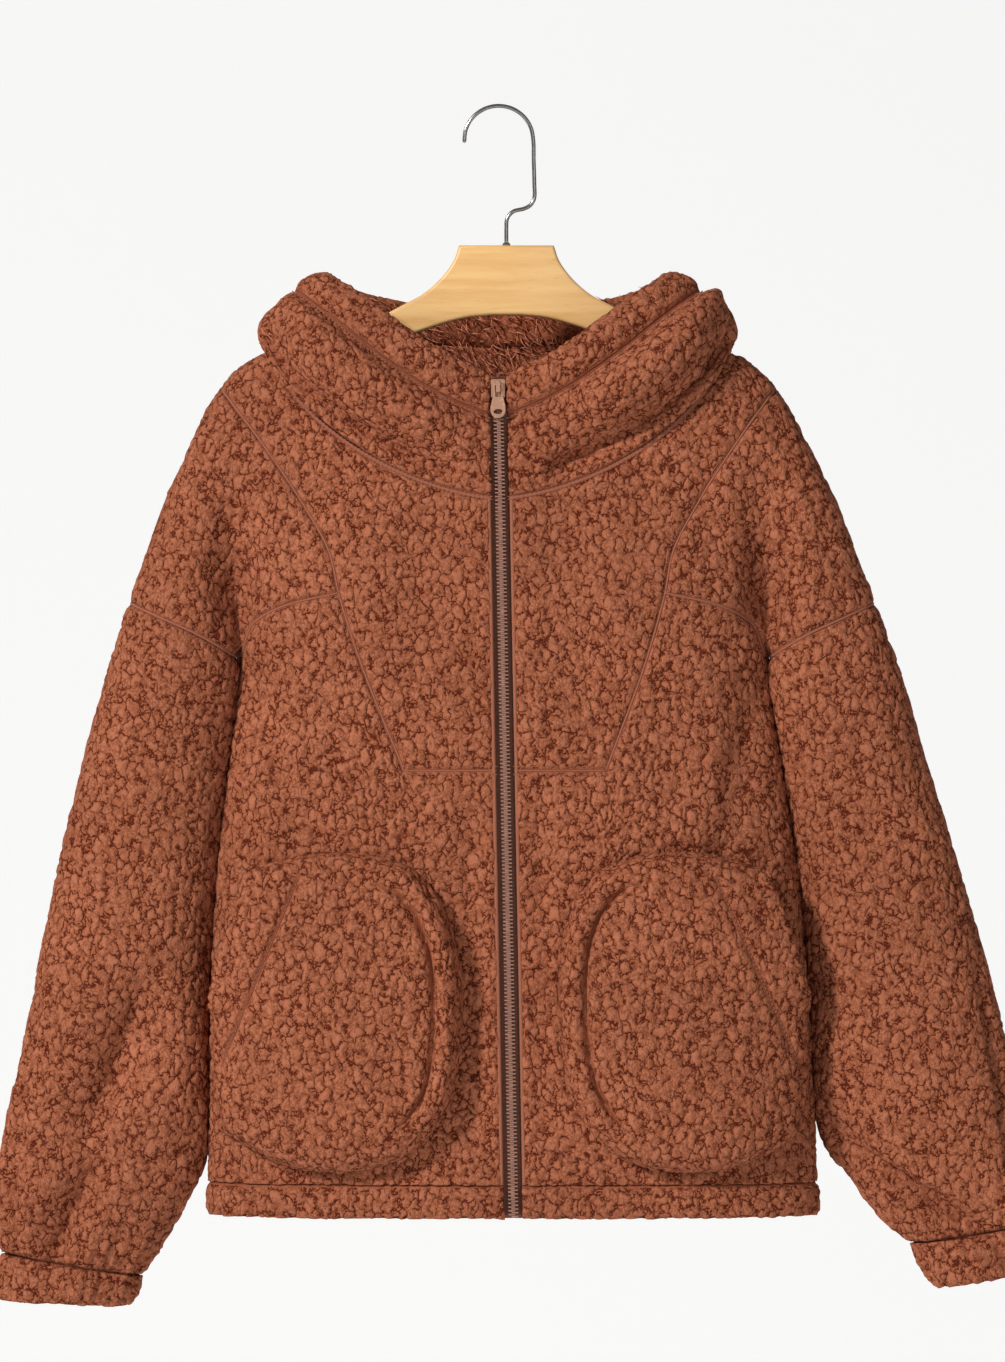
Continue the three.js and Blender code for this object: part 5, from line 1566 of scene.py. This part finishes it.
def pocket(side, word):
    _, inner, outer, lines = pocket_outer(side)
    # the pile is flattened along the front's seam and the mouth's stitching, and the fleece material paints
    # shade there
    flat_by = np.minimum(lines["seam"], lines["stitch"])
    pile = seam_pile(np.minimum(flat_by, lines["sewn"] + 3))
    patch = patch_mesh(outer, inner, pile, ALL_SIDES)
    cloth_piece(f"pocket_{word}", [patch], area_of(outer))


def mouth_stitching(side):
    """The line of stitching of a pocket's mouth, on its surface."""
    grid, _, outer, _ = pocket_outer(side)
    flat, points = grid.reshape(-1, 2), outer.reshape(-1, 3)
    line = straight(*MOUTH_STITCH)[::6]
    places = []
    for place in line:
        gap = np.linalg.norm(flat - place, axis=1)
        near = np.argsort(gap)[:6]
        weight = 1 / (gap[near] + 0.2)
        places.append((points[near] * weight[:, None]).sum(axis=0) / weight.sum())
    return np.array(places) + np.array((0, -0.4, 0))


# Seams


def ridge(line, normal, half_width, height, sink):
    """A low rounded strip along a line: points and faces."""
    along = np.gradient(line, axis=0)
    across = unit(np.cross(along, normal))
    angle = np.linspace(0, 2 * math.pi, 11)[:-1]
    up = np.where(np.sin(angle) > 0, np.sin(angle) * height, np.sin(angle) * 0.6)
    wide = np.cos(angle) * half_width
    points = line[:, None] + across[:, None] * wide[None, :, None]
    points = points + normal[:, None] * (up - sink)[None, :, None]
    ids = numbered(len(line), len(angle))
    faces = net_faces(wrapped(ids), turned=True)
    faces += [ids[0].tolist(), ids[-1][::-1].tolist()]
    return points.reshape(-1, 3), faces


def joined_meshes(parts):
    points, faces, start = [], [], 0
    for part_points, part_faces in parts:
        points.append(part_points)
        faces += [[start + i for i in face] for face in part_faces]
        start += len(part_points)
    return np.vstack(points), faces


def seam_run(line, side, face, lift=0.0):
    """A seam line of the trunk laid on the cloth: points and directions."""
    even = spaced(line, cells(length_of(line, face), 2.4), face)
    point, normal = on_trunk(side, even[:, 0], even[:, 1], face)
    return point + normal * lift, normal


def shifted(line, off):
    """A flat line moved sideways."""
    along = unit(np.gradient(line, axis=0))
    return line + np.stack([-along[:, 1], along[:, 0]], -1) * off


PANEL_SEAMS = table(
    "line face half_width height",
    (yoke_bottom, -1, 0.8, 0.9),
    (np.vstack([yoke_low, yoke_high[1:]]), -1, 0.8, 0.8),
    (shoulder_hem, -1, 0.8, 0.8),
    (sleeve_seam, -1, 0.9, 0.9),
    (sleeve_seam, 1, 0.9, 0.9),
    (front_neck, -1, 1.3, 1.1),
    (back_neck, 1, 1.3, 1.1),
)


def hood_run(side, back_off, lift):
    """The line along the hood at a distance from its face edge."""
    sections, lengths, _ = HOODS[side]
    at = [(length - back_off) * HOOD_ROWS / length for length in lengths]
    rows = np.arange(HOOD_ROWS + 1)
    line = np.array([[np.interp(a, rows, s[:, k]) for k in range(3)] for a, s in zip(at, sections)])
    below = np.array([[np.interp(a - 3, rows, s[:, k]) for k in range(3)] for a, s in zip(at, sections)])
    normal = unit(np.cross(np.gradient(line, axis=0), line - below) * side)
    return line + normal * lift, normal


def hood_middle():
    """The seam over the middle of the hood, from the neck to the face edge's band."""
    sections, lengths, _ = HOODS[1]
    last = int(HOOD_ROWS * (1 - HOOD_BAND / lengths[-1]))
    line = sections[-1][:last].copy()
    line[:, 0] = middle(line[:, 2])
    along = np.gradient(line, axis=0)
    normal = unit(np.cross(along, (1.0, 0.0, 0.0)))
    return line, normal * np.sign((normal * (line - line.mean(axis=0))).sum(axis=1).mean())


def seam_pieces():
    """All smooth seam ridges in one mesh and all stitches in another."""
    ridges, stitched = [], []
    for side in (-1, 1):
        for row in PANEL_SEAMS:
            line, normal = seam_run(row["line"], side, row["face"])
            ridges.append(ridge(line, normal, row["half_width"], row["height"], RIDGE_SINK))
            wide = row["half_width"] > WIDE_RIDGE
            for off in (-1, 1):
                beside = shifted(row["line"], off * (1.1 if wide else STITCH_OFF))
                beside[:, 0] = np.clip(beside[:, 0], 0.5, None)
                stitched.append(seam_run(beside, side, row["face"], -0.9 if wide else -1.1)[0])
        line, normal = hood_run(side, HOOD_BAND, 0.0)
        ridges.append(ridge(line, normal, **BAND_RIDGE))
        stitched.append(hood_run(side, HOOD_BAND - STITCH_OFF, -0.4)[0])
        stitched.append(hood_run(side, HOOD_BAND + STITCH_OFF, -0.9)[0])
        stitched.append(hood_middle()[0] + np.array((side * STITCH_OFF, 0, 0)))
        z = np.linspace(ARMPIT + 1, ARMPIT - SIDE_RIDGE_LENGTH, 12)
        side_seam = np.stack([middle(z) + side * trunk_half(z), 0 * z, z], -1)
        sideways = np.broadcast_to((float(side), 0.0, 0.0), side_seam.shape)
        ridges.append(ridge(side_seam, sideways, **SIDE_RIDGE))
        edge = np.vstack([zip_lower, zip_upper[1:]])
        line, normal = seam_run(edge + np.array((ZIP_FOLD, 0)), side, -1)
        ridges.append(ridge(line, normal, **ZIP_RIDGE))
        stitched.append(seam_run(edge + np.array((ZIP_STITCH, 0)), side, -1, -1.2)[0])
        stitched.append(mouth_stitching(side))
        hem_line = straight((ZIP_HALF + 2, HEM_STITCH), (float(trunk_half(HEM_STITCH)) - 1, HEM_STITCH))
        for face in (-1, 1):
            stitched.append(seam_run(hem_line, side, face, HEM_PROUD - 0.8)[0])
    ridges.append(ridge(*hood_middle(), **HOOD_RIDGE))
    placed(mesh_object("seam_ridges", *joined_meshes(ridges)), finish=thread)
    sewn = line_object("seam_stitches", stitched)
    placed(grown(sewn, stitch_tree(), {"Pitch": STITCH_PITCH * MM, "Material": thread}))


def line_object(name, lines):
    """Runs of edges, to carry what repeats along them."""
    points, edges, start = [], [], 0
    for line in lines:
        points.append(line)
        edges += [(start + i, start + i + 1) for i in range(len(line) - 1)]
        start += len(line)
    mesh = bpy.data.meshes.new(name)
    mesh.from_pydata((np.vstack(points) * MM).tolist(), edges, [])
    return new_object(name, mesh)


def stitch_tree():
    """Sets one small rounded stitch after another along the edges of a mesh."""
    sockets = [("Pitch", "NodeSocketFloat", STITCH_PITCH * MM), ("Material", "NodeSocketMaterial", None)]
    tree, start, end = geometry_tree("stitches", sockets)
    runs = node(tree, "GeometryNodeMeshToCurve", {0: start.outputs[0]})
    even = node(
        tree,
        "GeometryNodeResampleCurve",
        {"Curve": runs.outputs[0], "Length": start.outputs["Pitch"]},
        mode="LENGTH",
    )
    way = node(tree, "GeometryNodeInputTangent")
    turned = node(
        tree, "FunctionNodeAlignRotationToVector", {"Vector": way.outputs[0]}, axis="Z"
    )
    ball = node(
        tree, "GeometryNodeMeshUVSphere", {"Segments": 5, "Rings": 4, "Radius": STITCH_RADIUS * MM}
    )
    long = node(
        tree, "GeometryNodeTransform", {"Geometry": ball.outputs[0], "Scale": (1.0, 1.0, 2.5)}
    )
    instances = node(
        tree,
        "GeometryNodeInstanceOnPoints",
        {"Points": even.outputs[0], "Instance": long.outputs[0], "Rotation": turned.outputs[0]},
    )
    close_tree(tree, end, instances.outputs[0], start.outputs["Material"])
    return tree


# Long fur inside the hood

def fur_tree():
    """Sets curved tufts of fur on a surface, leaning down and to chance sides."""
    tree, start, end = geometry_tree(
        "tufts",
        [
            ("Tuft", "NodeSocketObject", None),
            ("Density", "NodeSocketFloat", FUR_DENSITY),
            ("Seed", "NodeSocketInt", FUR_SEED),
            ("Material", "NodeSocketMaterial", None),
        ],
    )
    spread = node(
        tree,
        "GeometryNodeDistributePointsOnFaces",
        {"Mesh": start.outputs[0], "Density": start.outputs["Density"], "Seed": start.outputs["Seed"]},
    )
    chance = node(
        tree,
        "FunctionNodeRandomValue",
        {0: FUR_LEAN[0], 1: FUR_LEAN[1], "Seed": start.outputs["Seed"]},
        data_type="FLOAT_VECTOR",
    )
    lean = vector_node(tree, "ADD", spread.outputs["Normal"], chance.outputs[0])
    turned = node(tree, "FunctionNodeAlignRotationToVector", {"Vector": lean}, axis="Z")
    size = node(
        tree,
        "FunctionNodeRandomValue",
        {2: FUR_SIZE[0], 3: FUR_SIZE[1], "Seed": start.outputs["Seed"]},
        data_type="FLOAT",
    )
    model = node(tree, "GeometryNodeObjectInfo", {0: start.outputs["Tuft"]})
    instances = node(
        tree,
        "GeometryNodeInstanceOnPoints",
        {
            "Points": spread.outputs[0],
            "Instance": model.outputs["Geometry"],
            "Rotation": turned.outputs[0],
            "Scale": size.outputs[1],
        },
    )
    close_tree(tree, end, instances.outputs[0], start.outputs["Material"])
    return tree


def tuft():
    """One curved tuft that narrows to its tip."""
    points, faces = [], []
    sides, rows, bend = (TUFT[key] for key in ("sides", "rows", "bend"))
    for j in range(rows):
        t = j / (rows - 1)
        for k in range(sides):
            angle = 2 * math.pi * k / sides + t
            r = TUFT["radius"] * (1 - t) ** 0.7 + TUFT["tip"]
            x = r * math.cos(angle) + bend * t * t
            points.append((x, r * math.sin(angle), TUFT["length"] * t))
    for j in range(rows - 1):
        for k in range(sides):
            a, b = j * sides + k, j * sides + (k + 1) % sides
            faces.append((a, b, b + sides, a + sides))
    faces += [(2, 1, 0), tuple(len(points) - sides + k for k in range(sides))]
    return mesh_object("tuft_model", points, faces)


def hood_fur():
    """Tufts on the inside of the hood, from its face edge down at the back and sides."""
    grids = []
    for side in (-1, 1):
        sections, lengths, shares = HOODS[side]
        net = stretch(sections, lengths, lambda n: n * 0.25, lambda n: n - 0.6, 40)
        normal = net_normals(net, side)
        grids.append((net - normal * (CLOTH + 0.5))[shares > FUR_FROM])
    points, faces = [], []
    start = 0
    for side, grid in zip((-1, 1), grids):
        quads = net_faces(numbered(*grid.shape[:2], start))
        faces += [quad[::side] for quad in quads]
        points.append(grid.reshape(-1, 3))
        start += len(points[-1])
    made = mesh_object("hood_fur", np.vstack(points), faces)
    model = tuft()
    values = {"Tuft": model, "Density": FUR_DENSITY, "Seed": FUR_SEED, "Material": long_fur}
    placed(grown(made, fur_tree(), values))
    bpy.data.objects.remove(model)


# Zip


def zip_line(z, across, behind):
    """Points along the zip, behind the fleece's surface."""
    first = HOOD[0]
    share = (z - NECK_FRONT) / (first["z"] - NECK_FRONT)
    surface = np.where(
        z < NECK_FRONT, -front_depth(z), mix(-float(front_depth(NECK_FRONT)), first["y"], share)
    )
    return np.stack(np.broadcast_arrays(middle(z) + across, surface + behind, z), -1)


def rounded_block(size, bevel):
    """A block with rounded edges round the origin: points and faces."""
    made = bmesh.new()
    bmesh.ops.create_cube(made, size=1.0)
    bmesh.ops.scale(made, vec=size, verts=made.verts)
    bmesh.ops.bevel(
        made, geom=made.edges[:], offset=bevel, segments=2, profile=0.6, affect="EDGES"
    )
    points = np.array([v.co[:] for v in made.verts])
    faces = [[v.index for v in face.verts] for face in made.faces]
    made.free()
    return points, faces


def zip_teeth():
    """Moulded teeth, one from the left, one from the right, closed into each other."""
    block, faces = rounded_block((TEETH["width"], TEETH["depth"], TEETH["height"]), 0.35)
    count = int((CHAIN["top"] - HEM - 2) / (TEETH["pitch"] / 2))
    parts = []
    for i in range(count):
        side = -1 if i % 2 else 1
        z = HEM + 2 + i * TEETH["pitch"] / 2
        across = side * (TEETH["outer"] - TEETH["width"] / 2)
        centre = zip_line(np.array(z), across, TEETH["front"] + TEETH["depth"] / 2)
        parts.append((block + centre, faces))
    placed(mesh_object("zip_teeth", *joined_meshes(parts)), "zip_chain", tooth_enamel)


def zip_tape(side, word):
    """A thin woven strip with a thicker cord beside the teeth."""
    z = np.linspace(HEM + 0.2, SLIDER["top"] - 4, cells(SLIDER["top"] - HEM, 3.0) + 1)
    share = np.linspace(0, 1, 13)
    across = side * mix(TAPE["start"], TAPE["end"], share)
    cord = TAPE_CORD["high"] * np.exp(-(((np.abs(across) - TAPE_CORD["at"]) / TAPE_CORD["wide"]) ** 2))
    front_side = zip_line(z[:, None], across[None], TAPE["behind"] - cord[None])
    back_side = zip_line(z[:, None], across[None], TAPE["behind"] + TAPE["thick"])
    patch = patch_mesh(front_side, back_side, np.zeros(front_side.shape[:2]), ALL_SIDES)
    made = mesh_object(f"zip_tape_{word}_woven", *shell([patch]))
    placed(made, f"zip_tape_{word}", woven_tape)


def cleaned(made, sharp_from, weld=False):
    """Turns a piece's faces outwards and keeps its edges sharp from an angle in degrees."""
    clean = bmesh.new()
    clean.from_mesh(made.data)
    if weld:
        bmesh.ops.remove_doubles(clean, verts=clean.verts, dist=1e-6)
    bmesh.ops.recalc_face_normals(clean, faces=clean.faces)
    clean.to_mesh(made.data)
    clean.free()
    made.data.set_sharp_from_angle(angle=math.radians(sharp_from))
    return made


def plate(name, outlines, thick, edge, place):
    """A flat piece cut from outlines, with rounded edges, standing in the plane of the front."""
    data = bpy.data.curves.new(name, "CURVE")
    data.dimensions = "2D"
    data.fill_mode = "BOTH"
    data.extrude = (thick / 2 - edge) * MM
    data.bevel_depth = edge * MM
    data.bevel_resolution = 3
    data.offset = -edge * MM
    for outline in outlines:
        spline = data.splines.new("POLY")
        spline.points.add(len(outline) - 1)
        for point, (x, z) in zip(spline.points, outline):
            point.co = (x * MM, z * MM, 0, 1)
        spline.use_cyclic_u = True
    drawn = new_object(name, data)
    mesh = bpy.data.meshes.new_from_object(
        drawn.evaluated_get(bpy.context.evaluated_depsgraph_get())
    )
    bpy.data.objects.remove(drawn)
    points = np.array([v.co[:] for v in mesh.vertices]) / MM
    points = np.stack([points[:, 0], -points[:, 2], points[:, 1]], -1) + np.array(place)
    faces = [list(face.vertices) for face in mesh.polygons]
    bpy.data.meshes.remove(mesh)
    return cleaned(mesh_object(name, points, faces), 40, weld=True)


def side_profile(name, profile, half, round_edge, replaced):
    """A small metal part: a profile of depth and height, as wide as twice its half."""
    made = bmesh.new()
    at = zip_line(np.array(float(PULL["pivot"])), 0, 0)
    ends = []
    for x in (-half, half):
        ends.append([made.verts.new(((at[0] + x) * MM, (at[1] + y) * MM, z * MM)) for y, z in profile])
    made.faces.new(ends[0])
    made.faces.new(ends[1][::-1])
    for i in range(len(profile)):
        k = (i + 1) % len(profile)
        made.faces.new((ends[0][i], ends[1][i], ends[1][k], ends[0][k]))
    bmesh.ops.recalc_face_normals(made, faces=made.faces)
    bmesh.ops.bevel(
        made, geom=made.edges[:], offset=round_edge * MM, segments=3, profile=0.6, affect="EDGES"
    )
    mesh = bpy.data.meshes.new(name)
    made.to_mesh(mesh)
    made.free()
    mesh.polygons.foreach_set("use_smooth", [True] * len(mesh.polygons))
    placed(new_object(name, mesh), replaced, pull_enamel)


def slider():
    proud, back_side, top, bottom = (SLIDER[key] for key in ("proud", "back", "top", "bottom"))
    profile = [
        (-proud, top - 1.5),
        (-proud + 1.5, top),
        (back_side, top),
        (back_side, bottom),
        (-proud + 1, bottom),
        (-proud, bottom + 1),
    ]
    side_profile("zip_slider_body", profile, SLIDER["half"], 0.5, "zip_slider")


def bridge():
    face = -SLIDER["proud"] - SEAM
    outer, bar, top, bottom = face - BRIDGE["reach"], BRIDGE["bar"], BRIDGE["top"], BRIDGE["bottom"]
    profile = [
        (face, top),
        (face, top - bar),
        (outer + bar, top - bar),
        (outer + bar, bottom + bar),
        (face, bottom + bar),
        (face, bottom),
        (outer + 1, bottom),
        (outer, bottom + 1),
        (outer, top - 1),
        (outer + 1, top),
    ]
    side_profile("zip_bridge_loop", profile, BRIDGE["half"], 0.22, "zip_bridge")


def pull_tab():
    narrow, wide, length, bar = (PULL[key] for key in ("narrow", "wide", "length", "bar"))
    round_end = np.linspace(math.pi, 2 * math.pi, 25)
    outline = [(-narrow, bar), (-narrow, -8), (-wide, -17)]
    outline += [(wide * math.cos(a), wide - length + wide * math.sin(a)) for a in round_end]
    outline += [(wide, -17), (narrow, -8), (narrow, bar)]
    slot = PULL["slot"]
    opening = [(-slot, -bar), (slot, -bar), (slot, -PULL_SLOT_LENGTH), (-slot, -PULL_SLOT_LENGTH)]
    turn = np.linspace(0, 2 * math.pi, 33)[:-1]
    eye = [(PULL_HOLE["half"] * math.cos(a), 2 * math.sin(a) - PULL_HOLE["down"]) for a in turn]
    at = zip_line(np.array(float(PULL["pivot"])), 0, 0)
    place = (at[0], at[1] - SLIDER["proud"] - SEAM - PULL["out"], PULL["pivot"])
    made = plate("zip_pull_tab", [outline, opening, eye], PULL["thick"], METAL_ROUND, place)
    placed(made, "zip_pull", pull_enamel, "pull")


# Hanger and hook


def seat_height(side, x):
    """The height at which an arm of the hanger just carries the shoulder from inside."""
    low, high = float(SEAT_LOWEST), float(NECK_SIDE)
    for _ in range(40):
        z = (low + high) / 2
        half = abs(HANGER_X + side * x - middle(z))
        free = -1.0
        if half < shoulder_half(z) - 0.01:
            gaps = []
            for face in (-1, 1):
                point, normal = on_trunk(side, half, z, face, folds=False)
                gaps.append(abs(point[1]) - CLOTH / max(abs(normal[1]), 0.05) - HANGER_THICK / 2)
            free = min(gaps)
        low, high = (z, high) if free > 0 else (low, z)
    return low - SEAT_CLEARANCE


def hanger():
    halves = []
    for side in (1, -1):
        seats = [(x, seat_height(side, x)) for x in HANGER_SEAT]
        tip = (HANGER_TIP["x"], seats[-1][1] - HANGER_TIP["drop"])
        upper = catmull([*HANGER_NECK, *seats], 90)
        turn = catmull([seats[-1], tip, HANGER_UNDER[0]], 12)[1:-1]
        lower = catmull(HANGER_UNDER, 70)
        halves.append(np.vstack([upper, turn, lower]) * np.array((side, 1)))
    outline = np.vstack([halves[0], halves[1][::-1]])
    made = plate("hanger_wood", [outline], HANGER_THICK, HANGER_ROUND, (HANGER_X, 0, 0))
    placed(made, "hanger", beech)


def hook():
    foot = HANGER_TOP + FERRULE["height"] + 2 * SEAM
    points = [
        (HANGER_X, foot),
        (HANGER_X, HANGER_TOP + 14),
        (HANGER_X + 0.6, HANGER_TOP + 21),
        (HANGER_X + 5, HANGER_TOP + 26.5),
        (HANGER_X + 14, HANGER_TOP + 29),
        (HOOK_LEG - 2.5, HANGER_TOP + 31.5),
        (HOOK_LEG + 0.6, HANGER_TOP + 36.5),
        (HOOK_LEG + 0.8, -58),
        (HOOK_LEG + 0.3, -40),
    ]
    centre_z = WIRE - HOOK_BEND["radius"]
    for angle in np.radians(np.arange(0, HOOK_TIP_ANGLE + 1, 23)):
        across, up = HOOK_BEND["radius"] * math.cos(angle), HOOK_BEND["radius"] * math.sin(angle)
        points.append((HOOK_BEND["x"] + across, centre_z + up))
    flat = catmull(points, 260)
    line = np.stack([flat[:, 0], np.zeros(len(flat)), flat[:, 1]], -1)
    across = np.cross(unit(np.gradient(line, axis=0)), (0.0, 1.0, 0.0))
    from_tip = np.linalg.norm(np.diff(line, axis=0), axis=1).sum() * (1 - np.linspace(0, 1, len(line)))
    radius = WIRE * np.sqrt(np.clip(1 - (1 - np.minimum(from_tip / WIRE, 1)) ** 2, 0.01, 1))
    angle = np.linspace(0, 2 * math.pi, 21)[:-1]
    ring = across[:, None] * np.cos(angle)[None, :, None]
    ring = ring + np.array((0, 1.0, 0)) * np.sin(angle)[None, :, None]
    tube = line[:, None] + ring * radius[:, None, None]
    ids = numbered(*tube.shape[:2])
    faces = net_faces(wrapped(ids)) + [ids[0][::-1].tolist(), ids[-1].tolist()]
    steel_piece("hook_wire", tube.reshape(-1, 3), faces, "hook")


def steel_piece(name, points, faces, replaced):
    placed(cleaned(mesh_object(name, points, faces), 50), replaced, steel)


def ferrule():
    """A small turned collar at the wire's foot."""
    low = HANGER_TOP + SEAM
    profile = [
        (0.0, low),
        (FERRULE["radius"] - 0.4, low),
        (FERRULE["radius"], low + 0.4),
        (FERRULE["radius"], low + 1.1),
        (FERRULE["radius"] - 0.5, low + 1.4),
        (FERRULE["radius"] - 0.9, low + 2.0),
        (WIRE + 0.2, low + FERRULE["height"]),
        (0.0, low + FERRULE["height"]),
    ]
    angle = np.linspace(0, 2 * math.pi, 33)[:-1]
    points = [(HANGER_X, 0, profile[0][1]), (HANGER_X, 0, profile[-1][1])]
    rings = []
    for radius, z in profile[1:-1]:
        rings.append([len(points) + k for k in range(len(angle))])
        points += [(HANGER_X + radius * math.cos(a), radius * math.sin(a), z) for a in angle]
    faces = []
    for k in range(len(angle)):
        n = (k + 1) % len(angle)
        faces += [(0, rings[0][n], rings[0][k]), (1, rings[-1][k], rings[-1][n])]
        faces += [(a[k], a[n], b[n], b[k]) for a, b in zip(rings, rings[1:])]
    steel_piece("hook_collar", points, faces, "hook_ferrule")


make_camera()
make_studio()
HOODS = {side: hood_sections(side) for side in (-1, 1)}
for side, word in SIDES:
    yoke(side, word)
    shoulder(side, word)
    front(side, word)
    sleeve(side, word)
    cuff(side, word)
    hood_half(side, word)
    pocket(side, word)
back()
hem_band()
hood_band()

seam_pieces()
hood_fur()
zip_teeth()
slider()
bridge()
pull_tab()
for side, word in SIDES:
    zip_tape(side, word)
hanger()
hook()
ferrule()
